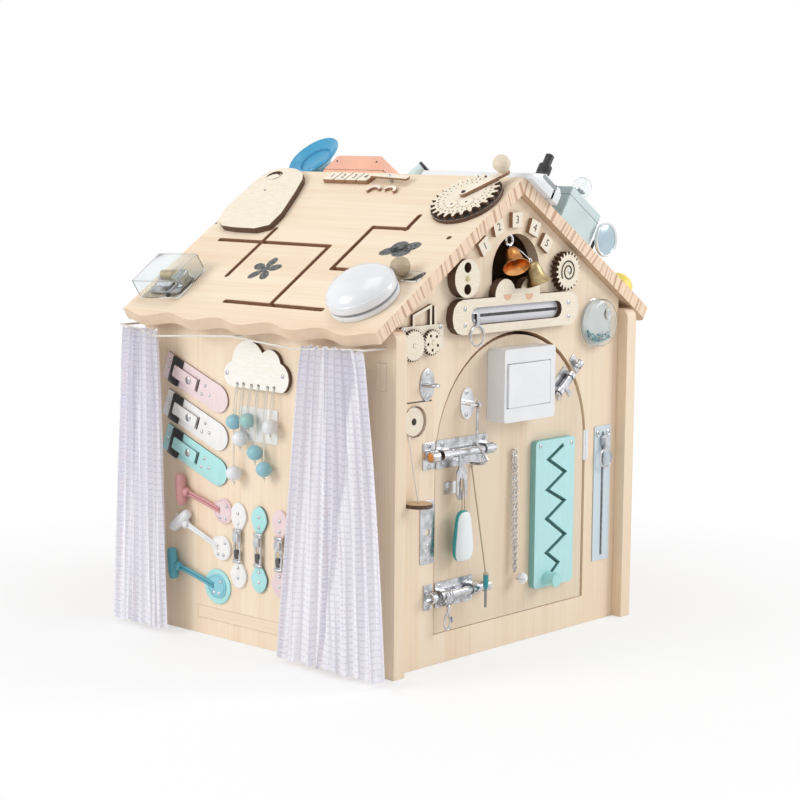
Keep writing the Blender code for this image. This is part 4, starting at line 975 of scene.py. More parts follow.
# %% Turned bells
def bell(name, apex, mouth, material):
    outside = [(0, 0), (0.0042, -0.0003), (0.0074, -0.0022), (0.0090, -0.0058), (0.0096, -0.0110)]
    outside += [(0.0104, -0.0165), (0.0122, -0.0212), (0.0142, -0.0246), (0.0160, -0.0268)]
    inside = [(0.0156, -0.0272), (0.0136, -0.0246), (0.0116, -0.0210), (0.0095, -0.0160)]
    inside += [(0.0086, -0.0105), (0.0078, -0.0062), (0.0060, -0.0034), (0, -0.0022)]
    shell = coat(turned(name, outside + inside, 56), material)
    clapper = coat(ball(name + "_clapper", 0.0028, segments=20), dark_steel)
    moved(clapper, z=-0.0150)
    loop = [(0.0021 * cos(a), 0, 0.0016 + 0.0026 * sin(a)) for a in (i * pi / 8 for i in range(16))]
    eye = coat(bent_wire(name + "_eye", loop, 0.0006, closed=True), steel)
    whole = join(name, [shell, clapper, eye])
    down = (Vector(mouth) - Vector(apex)).normalized()
    whole.matrix_world = Matrix.Translation(apex) @ Vector(
        (0, 0, -1)
    ).rotation_difference(down).to_matrix().to_4x4()
    return apply_place(whole)


copper_whole = bell("copper_bell_shell", (-0.0150, -0.2001, 0.4560), (-0.0235, -0.2148, 0.4375), copper)
settle(copper_whole, "copper_bell", "copper", ["copper_bell"])
brass_whole = bell("brass_bell_shell", (0.0035, -0.2150, 0.4410), (0.0108, -0.2218, 0.4153), brass)
settle(brass_whole, "brass_bell", "brass", ["brass_bell"])
copper_wire = [
    (-0.0040, -0.1885, 0.4585),
    (-0.0075, -0.1905, 0.4600),
    (-0.0120, -0.1955, 0.4590),
    (-0.0146, -0.1990, 0.4585),
]
dress(bent_wire("copper_hanger", copper_wire, 0.0010), steel, "copper_bell", "steel")
brass_wire = [
    (-0.0018, -0.1885, 0.4590),
    (-0.0005, -0.1950, 0.4575),
    (0.0015, -0.2060, 0.4500),
    (0.0032, -0.2140, 0.4432),
]
dress(bent_wire("brass_hanger", brass_wire, 0.0010), steel, "brass_bell", "steel")
print("two bells of 27 mm")

# %% [markdown]
# ## Discs on the gable
#
# A black spiral is burnt into the toothed disc. It is drawn as a thin wire along a spiral that
# shrinks as it turns, sunk to half its thickness. The other disc has a yellow bead in its middle.

# %% Spiral and bead
spiral_line = []
for i in range(73):
    angle = radians(215) - 2 * pi * 1.78 * i / 72
    reach = 0.0142 - 0.0102 * i / 72
    spiral_line.append((reach * cos(angle), reach * sin(angle), 0.0106))
spiral_mark = bent_wire("spiral_mark", spiral_line, 0.0009)
dress(put_on(spiral_mark, gable, 0.0881, 0.4460), ink, "spiral_gear", "plywood")
spiral_pin = turned(
    "spiral_pin", [(0, 0.0120), (0.0012, 0.0118), (0.0021, 0.0110), (0.0023, 0.0102), (0, 0.0102)], 24
)
dress(put_on(spiral_pin, gable, 0.0881, 0.4460), steel, "spiral_gear", "steel")
wax = plastic("wax_yellow", (0.74, 0.66, 0.36), 0.3)
disc_bead = moved(ball("disc_bead", 0.0036, (1, 1, 0.7)), z=0.0125)
dress(put_on(disc_bead, gable, -0.1010, 0.4459), wax, "button_disc", "plywood")

# %% [markdown]
# ## The bead drum
#
# The drum is a flat clear box with loose beads in it. Its case is a thin turned shell, so light
# passes two thin walls instead of a solid block. The beads lie at the bottom where they roll, and
# a numbered random source puts them in the same places each time.

# %% Clear drum with loose beads
from random import Random

case_profile = [
    (0, 0.0140), (0.0255, 0.0140), (0.0282, 0.0130), (0.0297, 0.0106), (0.0300, 0.0012), (0.0300, 0.0003)
]
case_profile += [(0.0286, 0.0003), (0.0286, 0.0100), (0.0272, 0.0120), (0.0250, 0.0128), (0, 0.0128)]
case = coat(turned("drum_case", case_profile, 64), clear)
plug = coat(
    turned(
        "drum_plug", [(0, 0.0150), (0.0062, 0.0150), (0.0074, 0.0143), (0.0076, 0.0136), (0, 0.0136)], 32
    ),
    clear,
)
case = join("drum_case", [case, moved(plug, 0.007, 0.011)])
settle(put_on(case, gable, 0.158, 0.379), "bead_drum", "clear_plastic", ["bead_drum"])
backing = turned(
    "drum_back", [(0, 0.0016), (0.0262, 0.0016), (0.0280, 0.0026), (0.0284, 0.0004), (0, 0.0004)], 48
)
dress(put_on(backing, gable, 0.158, 0.379), pale_white, "bead_drum", "clear_plastic")
shake = Random(7)
pile = []
for i in range(64):
    x = shake.uniform(-0.0215, 0.0215)
    y = -sqrt(0.0262**2 - x * x) + 0.0030 + abs(shake.gauss(0, 0.0036))
    bead = ball(f"loose_bead_{i}", 0.0016, segments=10)
    coat(bead, (bead_mint, sky, white_plastic, teal, bead_blue)[i % 5])
    pile.append(moved(bead, x, y, shake.uniform(0.0040, 0.0108)))
settle(put_on(join("loose_beads", pile), gable, 0.158, 0.379), "bead_drum", "blue_bead")
print("drum with", len(pile), "beads")

# %% [markdown]
# ## Eye plate, keepers and strike plate
#
# These are the fixed halves of the locks, cut from sheet steel. The eye plate is an oval with a
# bent staple. A keeper is a plate with a short tube that takes the end of the bolt's rod.


# %% Eye plate
def oval(width, height, sides=48):
    return [
        (width / 2 * cos(2 * pi * i / sides), height / 2 * sin(2 * pi * i / sides)) for i in range(sides)
    ]


eye_plate = coat(flat_board("eye_plate", oval(0.024, 0.037), 0, 0.0015, 0.0003), steel)
staple_points = [
    (-0.007, 0, 0), (-0.007, 0, 0.008), (-0.0062, 0, 0.013), (-0.003, 0, 0.0162), (0.003, 0, 0.0162)
]
staple_points += [(0.0062, 0, 0.013), (0.007, 0, 0.008), (0.007, 0, 0)]
staple = coat(bent_wire("staple", staple_points, 0.0018, sides=4), steel)
settle(put_on(join("eye_plate", [eye_plate, staple]), gable, -0.1565, 0.3276), "house", "steel")
fasten("eye_plate_screws", "house", gable, [(-0.1565, 0.3408), (-0.1565, 0.3144)], 0.0015)


# %% Bolt keepers
def keeper(name, width, height, reach, bore, wall, length):
    plate = coat(flat_board(name, rounded(width, height, 0.0015, 3), 0, 0.0015, 0.0003), steel)
    tube_profile = [
        (bore, 0), (bore + wall * 0.7, 0), (bore + wall, 0.0005), (bore + wall, length - 0.0005)
    ]
    tube_profile += [(bore + wall * 0.7, length), (bore, length)]
    tube = coat(turned(name + "_tube", tube_profile, 40, closed=True), steel)
    moved(tube, -length / 2, 0, reach, (0, pi / 2, 0))
    foot = coat(
        flat_board(
            name + "_foot",
            rounded(length * 0.9, bore * 1.7, 0.0008, 2),
            0.0010,
            reach - bore - 0.0002,
            0.0002,
        ),
        steel,
    )
    return join(name, [plate, tube, foot])


upper_keeper = keeper("bolt_keeper", 0.0205, 0.031, 0.0082, 0.0052, 0.0015, 0.012)
settle(put_on(upper_keeper, gable, -0.1520, 0.2456), "house", "steel")
# A copper disc in the keeper tube's open end is the bolt rod's end; its copper colour is a painted
# reflection of the wood.
wear_and_reflection = turned(
    "keeper_rod_end_reflection", [(0, 0.0010), (0.0040, 0.0010), (0.0050, 0.0003), (0.0050, -0.0003), (0, -0.0003)], 32
)
wear_and_reflection = moved(wear_and_reflection, -0.0054, 0, 0.0082, (0, -pi / 2, 0))
dress(put_on(wear_and_reflection, gable, -0.1520, 0.2456), copper, "house", "steel")
fasten("bolt_keeper_screws", "house", gable, [(-0.1520, 0.2577), (-0.1520, 0.2335)], 0.0015)
lower_keeper = keeper("lower_keeper", 0.0150, 0.030, 0.0082, 0.0052, 0.0013, 0.009)
settle(put_on(lower_keeper, gable, -0.1515, 0.0817), "house", "steel")
small_keeper = keeper("corner_keeper", 0.011, 0.024, 0.0070, 0.0040, 0.0011, 0.0075)
settle(put_on(small_keeper, gable, 0.1175, 0.3305, 0, radians(39)), "house", "steel")

# %% Strike plate
strike = flat_board("strike_plate", rounded(0.0245, 0.074, 0.003, 5), 0, 0.0013, 0.0003)
strike = cut(strike, flat_board("hole", oval(0.008, 0.008, 24), -0.001, 0.003, 0))
settle(coat(put_on(strike, gable, -0.1535, 0.158), steel), "house", "steel")
fasten("strike_screws", "house", gable, [(-0.1535, 0.1860), (-0.1535, 0.1420)], 0.0013)
print("eye plate, three keepers and a strike plate")

# %% [markdown]
# ## The wheel's board
#
# The wheel turns in a round recess in a thin square veneer. Here a thin rim is added round the recess,
# and a dark line at the veneer's top where the laser cut through.

# %% Wheel board
veneer_line = coat(
    flat_board("wheel_board_line", rounded(0.046, 0.0012, 0.0004, 2), 0, 0.0006, 0.0001, 1), ink
)
settle(put_on(veneer_line, gable, -0.1705, 0.3094), "house", "plywood")
rim_profile = [(0.0181, 0), (0.0181, 0.0008), (0.0184, 0.0010), (0.0190, 0.0010), (0.0193, 0)]
wheel_rim = turned("wheel_rim", rim_profile, 56, closed=True)
dress(put_on(wheel_rim, gable, -0.1750, 0.2870), tile_gable, "house", "plywood")
# A dark disc sits inside the wheel's bore: painted shade that makes the hole read dark.
bore_shade = turned(
    "wheel_bore_shade", [(0, 0.0006), (0.0034, 0.0006), (0.0040, 0.0002), (0.0040, -0.0004), (0, -0.0004)], 32
)
dress(put_on(bore_shade, gable, -0.1750, 0.2870, -0.0017), ink, "face_wheel", "plywood")
print("wheel board")

# %% [markdown]
# ## The bob, the chain and the clasp
#
# A soft rubber bob, shaped like a pear, hangs from the bolt's flap on two brown strings. It is a
# ball, drawn in at the top and pressed flat, with a paler front. Beside it hangs a chain of small
# links with a round bell, and a snap hook hangs at the lower bolt.

# %% Two-colour rubber
bob_rubber = plastic("bob_rubber", (0.030, 0.330, 0.350), 0.42)
front_face = between(bob_rubber, facing(bob_rubber, (0, -0.94, -0.34)), 0.40, 0.50)
teal_part = blend(
    bob_rubber, noise(bob_rubber, 60, place_on(bob_rubber)), (0.025, 0.300, 0.320), (0.040, 0.370, 0.385)
)
link(bob_rubber, blend(bob_rubber, front_face, teal_part, (0.82, 0.87, 0.88)), "Base Color")

# %% Bob
pear_profile = [(0, 0.0600), (0.0045, 0.0594), (0.0084, 0.0570), (0.0108, 0.0530), (0.0121, 0.0470)]
pear_profile += [(0.0131, 0.0390), (0.0144, 0.0300), (0.0154, 0.0210), (0.0155, 0.0130), (0.0143, 0.0066)]
pear_profile += [(0.0112, 0.0024), (0.0060, 0.0004), (0, 0)]
pear = turned("bob_body", pear_profile, 48)
bpy.ops.object.mode_set(mode="EDIT")
bpy.ops.mesh.select_all(action="SELECT")
bpy.ops.transform.resize(value=(1, 0.55, 1), center_override=(0, 0, 0))
bpy.ops.object.mode_set(mode="OBJECT")
bob_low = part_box("bob")[0]
dress(moved(pear, -0.1078, -0.2108, bob_low.z), bob_rubber, "bob", "teal_rubber", ["bob"])
for side_step in (-0.0026, 0.0026):
    string = [(-0.1078, -0.2108, 0.1962), (-0.1078 + side_step * 0.7, -0.2112, 0.182)]
    string.append((-0.1078 + side_step, -0.2108, bob_low.z + 0.056))
    dress(bent_wire("bob_string", string, 0.0006), cord_tan, "bob", "cord")
print("bob is 60 mm high, its lowest point at", round(bob_low.z, 4))


# %% Chain of small links
def chain_link(name, length, width, wire):
    half = (length - width) / 2
    points = [(width / 2 * cos(a), half + width / 2 * sin(a), 0) for a in (i * pi / 4 for i in range(5))]
    points += [
        (width / 2 * cos(a), -half + width / 2 * sin(a), 0) for a in (pi + i * pi / 4 for i in range(5))
    ]
    return bent_wire(name, points, wire, closed=True, sides=1)


chain_low, chain_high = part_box("chain_bell")
one_link = coat(chain_link("chain_link", 0.0058, 0.0037, 0.00055), steel)
links = []
for strand in (-0.0030, 0.0030):
    for i in range(33):
        fall = i / 32
        one = copy_of(one_link, "link")
        turn = pi / 2 if i % 2 else 0
        only(one)
        one.rotation_euler = (0, turn, 0)
        apply_place(one)
        spread = strand * (0.4 + 0.6 * sin(pi * min(1, fall + 0.1)))
        links.append(
            moved(one, spread, 0.2372 - 0.0075 - 0.0043 * i, 0.0040 + 0.0030 * fall, (0, radians(20), 0))
        )
bpy.data.objects.remove(one_link)
chain = join("chain", links)
settle(put_on(chain, gable, -0.0013), "chain_bell", "steel", ["chain_bell"])
hoop = [(0.0042 * cos(i * pi / 8), 0.0042 * sin(i * pi / 8), 0) for i in range(16)]
chain_ring = bent_wire("chain_ring", hoop, 0.0008, closed=True)
dress(put_on(chain_ring, gable, -0.0013, 0.2372 - 0.0035, 0.0042, 0), steel, "chain_bell", "steel")
jingle = ball("jingle_bell", 0.0071, segments=40)
jingle = cut(jingle, flat_board("slit", rounded(0.020, 0.0011, 0.0005, 3), -0.0200, 0.0200, 0))
band = coat(
    turned(
        "jingle_band",
        [(0.0068, -0.0006), (0.0075, -0.0005), (0.0077, 0), (0.0075, 0.0005), (0.0068, 0.0006)],
        40,
        closed=True,
    ),
    steel,
)
moved(band, tilt=(pi / 2, 0, 0))
jingle = join("jingle_bell", [coat(jingle, white_plastic), band])
settle(put_on(jingle, gable, chain_high.x - 0.0075, chain_low.z + 0.0272, 0.0122), "chain_bell", "steel")
screw_eye = [
    (0, 0, 0),
    (0, 0, 0.0030),
    (-0.0022, 0, 0.0052),
    (0, 0, 0.0075),
    (0.0022, 0, 0.0052),
    (0.0006, 0, 0.0032),
]
dress(put_on(bent_wire("chain_eye", screw_eye, 0.0009), gable, -0.0013, 0.2372), steel, "door", "steel")
print("chain of", len(links), "links")

# %% Snap hook at the lower bolt
clasp_bits = []
for x, lean in ((-0.0290, 12), (-0.0235, -10), (-0.0180, 16)):
    ring = bent_wire(
        "clasp_ring",
        [(0, 0.0088 * cos(a), 0.0088 * sin(a)) for a in (i * pi / 10 for i in range(20))],
        0.0009,
        closed=True,
    )
    clasp_bits.append(moved(ring, x, -0.0028, 0.0082, (0, radians(lean), 0)))
swivel = turned(
    "clasp_swivel",
    [(0, 0.0060), (0.0016, 0.0060), (0.0024, 0.0048), (0.0026, 0), (0.0019, -0.0014), (0, -0.0016)],
    24,
)
clasp_bits.append(moved(swivel, -0.0225, -0.0165, 0.0130, (-pi / 2, 0, 0)))
snap = [
    (0, 0, 0), (-0.0044, -0.0030, 0), (-0.0052, -0.0120, 0), (-0.0030, -0.0190, 0), (0.0010, -0.0212, 0)
]
snap += [(0.0046, -0.0185, 0), (0.0050, -0.0130, 0), (0.0034, -0.0060, 0), (0.0006, -0.0004, 0)]
clasp_bits.append(
    moved(bent_wire("clasp_snap", snap, 0.0013), -0.0225, -0.0190, 0.0130, (0, 0, radians(-8)))
)
lever = flat_board("clasp_lever", rounded(0.0026, 0.0070, 0.0012, 4), -0.0008, 0.0030, 0.0003)
clasp_bits.append(moved(lever, -0.0175, -0.0285, 0.0130))
for bit in clasp_bits:
    coat(bit, steel)
settle(put_on(join("snap_hook", clasp_bits), gable, -0.1064, 0.0817), "door", "steel")
print("snap hook")

# %% [markdown]
# ## Paint on the pull, the pointer and the sliding board
#
# Three CAD solids hold more than one material in one mesh. A finish tells them apart by height:
# the pull's string is above its disc, and the pointer's teal grip lies between cord and needle.

# %% Finishes by height
pull_wood = plywood("pull_wood", (0, 0, 1), (0.60, 0.43, 0.27))
pull_disc_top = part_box("pull_disc")[0].z + 0.0052
high = math(pull_wood, "GREATER_THAN", part_of(pull_wood, 2), pull_disc_top)
under = pull_wood.node_tree.nodes["Principled BSDF"].inputs["Base Color"].links[0].from_socket
link(pull_wood, blend(pull_wood, high, under, (0.80, 0.77, 0.72)), "Base Color")

pointer_mix = finish("pointer_mix", (0.50, 0.40, 0.28), 0.5)
twist = node(
    pointer_mix, "TexWave", {"Vector": place_on(pointer_mix), "Scale": 300.0}, bands_direction="Z"
)
string_part = blend(pointer_mix, twist.outputs["Fac"], (0.42, 0.33, 0.22), (0.60, 0.50, 0.37))
grip = math(pointer_mix, "LESS_THAN", part_of(pointer_mix, 2), 0.0790)
needle = math(pointer_mix, "LESS_THAN", part_of(pointer_mix, 2), 0.0610)
pointer_colour = blend(pointer_mix, grip, string_part, (0.030, 0.300, 0.350))
link(pointer_mix, blend(pointer_mix, needle, pointer_colour, (0.30, 0.29, 0.28)), "Base Color")
link(pointer_mix, needle, "Metallic")


# %% Painted zigzag board
def painted_board(name, out, pale, shade, floor_depth=None):
    """Pale painted faces, a deeper tone on the sides, and a dark painted shade on the floor of the
    groove.
    """
    made = finish(name, pale, 0.45)
    brushed = noise(made, 1.0, place_on(made, (160, 160, 40)), 3.0, 0.6)
    face = blend(made, between(made, brushed, 0.3, 0.75), pale, tuple(c * 0.93 for c in pale))
    sides = between(made, facing(made, out), 0.5, 0.85, 1.0, 0.0)
    colour = blend(made, sides, face, shade)
    if floor_depth:
        # The groove's floor, narrow and deep, gets a dark painted shade.
        sunk = math(made, "GREATER_THAN", part_of(made, 1), floor_depth)
        colour = blend(
            made,
            math(made, "MULTIPLY", sunk, between(made, facing(made, out), 0.5, 0.8)),
            colour,
            tuple(c * 0.45 for c in shade),
        )
    link(made, colour, "Base Color")
    bump(made, brushed, 0.12, 0.0002)
    return made


mint_board = painted_board(
    "mint_board", (0, -1, 0), (0.50, 0.815, 0.830), (0.235, 0.505, 0.490), GABLE_Y - 0.0080
)
for name, coat_made in (("pull_disc", pull_wood), ("pointer", pointer_mix), ("zigzag_board", mint_board)):
    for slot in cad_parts[name].material_slots:
        slot.material = coat_made
print("pull, pointer and zigzag board")

# %% [markdown]
# ## Straps with buckles
#
# Three stiffened straps teach buckling. Each is a wide sheet with a rounded end, a black buckle
# frame, and a narrow tongue with a snap, whose end goes into a slit. The sheets are cut by laser,
# so a thin brown line runs round them. A strap is made once, flat, and copied in three colours.


# %% Strap finishes
def strap_finish(name, pale):
    return painted_board(name, (-1, 0, 0), pale, tuple(c * k for c, k in zip(pale, (0.42, 0.34, 0.32))))


strap_pink = strap_finish("strap_pink", (0.900, 0.730, 0.745))
strap_white = strap_finish("strap_white", (0.900, 0.895, 0.885))
strap_mint = strap_finish("strap_mint", (0.455, 0.800, 0.790))
lacquer = plastic("black_lacquer", (0.030, 0.030, 0.032), 0.22)


# %% One strap and its copies
def strap(name, paint):
    tip = [
        (0.0401 + 0.0185 * cos(a), 0.0168 * sin(a)) for a in (-pi / 2 + pi * i / 18 for i in range(19))
    ]
    sheet = coat(
        flat_board(name, tip + [(-0.0588, 0.0168), (-0.0588, -0.0168)], 0.0003, 0.0026, 0.0003), paint
    )
    tongue_line = rounded(0.0437, 0.0150, 0.0016, 4)
    tongue = coat(flat_board(name + "_tongue", tongue_line, 0.0040, 0.0058, 0.0004), paint)
    moved(tongue, -0.0187, 0, 0)
    frame_outer = flat_board(name + "_buckle", rounded(0.0185, 0.0345, 0.0018, 4), 0.0026, 0.0049, 0.0005)
    window = flat_board("window", rounded(0.0070, 0.0165, 0.0010, 3), 0, 0.01, 0)
    buckle = coat(cut(frame_outer, moved(window, 0.0022)), lacquer)
    moved(buckle, -0.0375)
    slit = coat(
        flat_board(name + "_slit", rounded(0.0016, 0.0165, 0.0006, 3), 0.0024, 0.0030, 0.0001, 1), ink
    )
    moved(slit, 0.0042)
    snap_profile = [
        (0, 0.0016), (0.0034, 0.0015), (0.0045, 0.0010), (0.0050, 0), (0.0050, -0.0006), (0, -0.0006)
    ]
    snap_top = coat(turned(name + "_snap", snap_profile, 32), steel)
    moved(snap_top, -0.0113, 0, 0.0058)
    bits = [sheet, tongue, buckle, slit, snap_top]
    for x, y in (
        (0.0158, 0.0057), (0.0137, -0.0065), (0.0263, -0.0022), (-0.0530, 0.0080), (-0.0530, -0.0010)
    ):
        bits.append(moved(copy_of(rivet, name + "_rivet"), x, y, 0.0026))
    return join(name, bits)


strap_places = (
    (-0.1145, 0.3066, strap_pink, "pink_strap"),
    (-0.1147, 0.2609, strap_white, "white_strap"),
    (-0.1159, 0.2180, strap_mint, "mint_strap"),
)
for number, (across, up, paint, slot_name) in enumerate(strap_places, 1):
    made = strap(f"buckled_strap_{number}", paint)
    settle(
        put_on(made, left_side, across, up, 0, radians(-20.5)), "house", slot_name, [f"strap_{number}"]
    )
print("three straps")

# %% [markdown]
# ## Beads on strings
#
# Six strings hang from the cloud, each a doubled thread with one or two round wooden beads and a
# knot. The threads come out of small holes in the cloud. A bead is a ball with a hole through it.


# %% Beads and their threads
def drilled_bead(name, radius, paint):
    bead = ball(name, radius, (1, 0.96, 1), 40)
    drill = turned("drill", [(0, -0.02), (0.0016, -0.02), (0.0016, 0.02), (0, 0.02)], 16)
    return coat(cut(bead, moved(drill, tilt=(pi / 2, 0, 0))), paint)


strings = {
    1: [(0.2695, bead_blue), (0.2080, bead_white)],
    2: [(0.2504, bead_white)],
    3: [(0.2733, bead_mint)],
    4: [(0.2366, bead_blue)],
    5: [(0.2186, bead_blue)],
    6: [(0.2696, bead_white)],
}
slots = {1: "blue_bead", 2: "white_bead", 3: "mint_bead", 4: "blue_bead", 5: "blue_bead", 6: "white_bead"}
holes = {}
for number, beads in strings.items():
    node_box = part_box(f"bead_string_{number}")
    across = -(node_box[0].y + node_box[1].y) / 2
    holes[number] = across
    bits = [moved(drilled_bead("bead", 0.0095, paint), across, height, 0.0122) for height, paint in beads]
    lowest = min(height for height, paint in beads)
    for spread in (-0.0014, 0.0014):
        top_end = [(across + spread * 0.3, 0.3142, 0.0064), (across + spread * 1.6, 0.303, 0.0092)]
        run = top_end + [
            (across + spread, (0.303 + lowest) / 2, 0.0122), (across, lowest + 0.008, 0.0122)
        ]
        bits.append(coat(bent_wire("thread", run, 0.00055), cord_white))
    tail = [
        (across, lowest + 0.004, 0.0122),
        (across, lowest - 0.0105, 0.0122),
        (across + 0.0012, lowest - 0.0150, 0.0118),
    ]
    bits.append(coat(bent_wire("thread_tail", tail, 0.0006), cord_white))
    bits.append(
        moved(coat(ball("knot", 0.0017, (1, 0.8, 1), 14), cord_white), across, lowest - 0.0108, 0.0122)
    )
    piece = put_on(join(f"beads_{number}", bits), left_side)
    settle(piece, f"bead_string_{number}", slots[number], [f"bead_string_{number}"])
thread_eye = coat(
    turned(
        "thread_eye",
        [(0.0009, 0), (0.0009, 0.0005), (0.0014, 0.0008), (0.0020, 0.0004), (0.0020, 0)],
        20,
        closed=True,
    ),
    dark_steel,
)
eyes = [
    put_on(copy_of(thread_eye, "eye"), left_side, across, 0.3142 + 0.0006 * (i % 2), 0.0060)
    for i, across in enumerate(holes.values())
]
bpy.data.objects.remove(thread_eye)
settle(join("thread_eyes", eyes), "house", "steel")
back_plate = flat_board("white_plate", rounded(0.064, 0.041, 0.003, 5), 0, 0.0014, 0.0003)
dress(put_on(back_plate, left_side, -0.0070, 0.2675), pale_white, "house", "white_plastic")
print("six strings of beads")

# %% [markdown]
# ## Toggles and clips
#
# Under the straps are three toggles and three clips. A toggle is a soft bar on a loop of cord. Its
# tab is stitched and riveted to the wall. A clip has two drop-shaped tabs, one above and one
# below, that a bright steel clasp joins.


# %% One toggle
def drop(width, height, shoulder=0.35):
    """An egg-shaped outline, wide at the bottom."""
    points = []
    for i in range(36):
        angle = 2 * pi * i / 36
        reach = 1 - shoulder * max(0, sin(angle))
        points.append((width / 2 * cos(angle) * reach, height / 2 * sin(angle)))
    return points


def toggle(name, bar_at, bar_turn, tab_at, rubber, cloth_pale, slot_name, lean, backing=None):
    bits = []
    (bar_x, bar_y), (tab_x, tab_y) = bar_at, tab_at
    out = 0.0085
    half_bar = [(0, 0.0195), (0.0036, 0.0190), (0.0056, 0.0170), (0.0064, 0.0110), (0.0065, 0)]
    bar_profile = [(r, -h) for r, h in half_bar] + half_bar[-2::-1]
    bar = moved(turned(name + "_bar", bar_profile, 28), tilt=(pi / 2, 0, 0))
    bits.append(coat(moved(bar, bar_x, bar_y, out, (0, 0, radians(bar_turn))), rubber))
    for offset in (-0.0022, 0.0022):
        side_x, side_y = offset * sin(radians(lean)), offset * cos(radians(lean))
        run = [(bar_x - 0.012, bar_y + 0.0045 + side_y, 0.004), (bar_x, bar_y + side_y, out)]
        run += [
            ((bar_x + tab_x) / 2 + side_x, (bar_y + tab_y) / 2 + side_y, 0.0048),
            (tab_x - 0.004, tab_y + side_y, 0.0036),
        ]
        bits.append(coat(bent_wire(name + "_cord", run, 0.0018, sides=4), rubber))
    collar = turned(
        name + "_collar",
        [
            (0.0012, -0.004),
            (0.0044, -0.0042),
            (0.0056, -0.002),
            (0.0058, 0.002),
            (0.0044, 0.0042),
            (0.0012, 0.004),
        ],
        24,
        closed=True,
    )
    collar = moved(collar, tilt=(0, pi / 2, radians(lean)))
    step_x, step_y = (tab_x - bar_x), (tab_y - bar_y)
    reach = sqrt(step_x**2 + step_y**2)
    bits.append(
        coat(
            moved(collar, bar_x + step_x / reach * 0.0095, bar_y + step_y / reach * 0.0095, 0.0075),
            rubber,
        )
    )
    tab = flat_board(
        name + "_tab", drop(0.031, 0.034, 0.30), 0.0016 if backing else 0.0002, 0.0036, 0.0006
    )
    bits.append(coat(moved(tab, tab_x, tab_y, 0, (0, 0, radians(lean + 90))), cloth_pale))
    stitch = [(x * 0.86, y * 0.86, 0.0036) for x, y in drop(0.031, 0.034, 0.30)]
    bits.append(
        coat(
            moved(
                bent_wire(name + "_stitch", stitch, 0.0003, closed=True, sides=1),
                tab_x,
                tab_y,
                0,
                (0, 0, radians(lean + 90)),
            ),
            rubber,
        )
    )
    for x, y in ((0.0085, 0.0062), (-0.0035, -0.0085), (0.0055, -0.0085)):
        bits.append(moved(copy_of(rivet, name + "_rivet"), tab_x + x, tab_y + y, 0.0036))
    if backing:
        scallops = [
            (
                (0.0225 + 0.0009 * cos(i * pi)) * cos(2 * pi * i / 72),
                (0.0212 + 0.0009 * cos(i * pi)) * sin(2 * pi * i / 72),
            )
            for i in range(72)
        ]
        bits.append(
            coat(
                moved(
                    flat_board(name + "_backing", scallops, 0.0002, 0.0020, 0.0003),
                    tab_x + 0.001,
                    tab_y - 0.001,
                ),
                backing,
            )
        )
    return settle(put_on(join(name, bits), left_side), "house", slot_name)


toggle("rose_toggle", (-0.1360, 0.1760), 4, (-0.0676, 0.1577), rose, pale_pink, "pink_strap", -22)
toggle(
    "white_toggle", (-0.1370, 0.1375), -52, (-0.0708, 0.1124), bead_white, pale_white, "white_strap", -22
)
toggle("blue_toggle", (-0.1515, 0.0820), 6, (-0.0790, 0.0640), sky, sky_pale, "pale_blue_tape", -20, mint)


# %% One clip
def clip(name, across, paint, slot_name):
    bits = []
    for height, flip in ((0.1530, 0), (0.0850, 180)):
        teardrop = [(-x, -y) for x, y in drop(0.0270, 0.036, 0.0)]
        teardrop = [(x * (1 - 0.50 * max(0, -y / 0.018)), y) for x, y in teardrop]
        tab = coat(flat_board(name + "_tab", teardrop, 0.0002, 0.0034, 0.0007), paint)
        bits.append(moved(tab, across, height, 0, (0, 0, radians(flip))))
        way = -1 if flip else 1
        bits.append(moved(copy_of(rivet, name + "_rivet"), across, height + 0.0050 * way, 0.0034))
        bits.append(moved(copy_of(rivet, name + "_rivet"), across, height - 0.0070 * way, 0.0034))
        for x in (-0.0032, 0.0032):
            loop_line = [
                (across + x, height - 0.0145 * way, 0.0022),
                (across + x, height - 0.0190 * way, 0.0062),
                (across + x, height - 0.0235 * way, 0.0052),
            ]
            bits.append(coat(bent_wire(name + "_wire", loop_line, 0.0009), steel))
    plate = flat_board(name + "_plate", rounded(0.0115, 0.036, 0.0020, 4), 0.0040, 0.0056, 0.0004)
    plate = cut(plate, flat_board("window", rounded(0.0052, 0.0075, 0.0012, 3), 0, 0.02, 0))
    bits.append(coat(moved(plate, across, 0.1185), steel))
    keep = flat_board(name + "_catch", rounded(0.0090, 0.0105, 0.0015, 3), 0.0054, 0.0090, 0.0009)
    bits.append(coat(moved(keep, across, 0.1290), steel))
    barrel = turned(
        name + "_barrel",
        [
            (0, -0.0062),
            (0.0019, -0.0060),
            (0.0021, -0.0050),
            (0.0021, 0.0050),
            (0.0019, 0.0060),
            (0, 0.0062),
        ],
        20,
    )
    for height in (0.1375, 0.1000):
        piece = copy_of(barrel, name + "_pin")
        bits.append(coat(moved(piece, across, height, 0.0052, (0, pi / 2, 0)), steel))
    bpy.data.objects.remove(barrel)
    lever_tip = flat_board(name + "_tip", rounded(0.0062, 0.0120, 0.0022, 4), 0.0056, 0.0072, 0.0005)
    bits.append(coat(moved(lever_tip, across, 0.1095, 0, (radians(6), 0, 0)), dark_steel))
    return settle(put_on(join(name, bits), left_side), "house", slot_name)


clip("white_clip", -0.0400, pale_white, "white_strap")
clip("mint_clip", -0.0043, strap_mint, "mint_strap")
clip("pink_clip", 0.0305, pale_pink, "pink_strap")
print("three toggles and three clips")

# %% [markdown]
# ## Curtains
#
# Two gauze curtains hang from the cord. Each is a rectangle that is gathered at the top, so the
# folds are deep and narrow there and open out below. A grid is bent into the folds: a sine wave
# across gives them, its depth shrinks downward, and the outer part of the right curtain lies over
# the rest in one slanting fold. The cut widths are stated, not measured: the photograph doesn't
# show them, so the spread curtain is taken as 1.25 and the gathered one as 1.5 times its foot. The
# woven pattern is mapped on that cut. The folds follow it only roughly, so the area is compared.


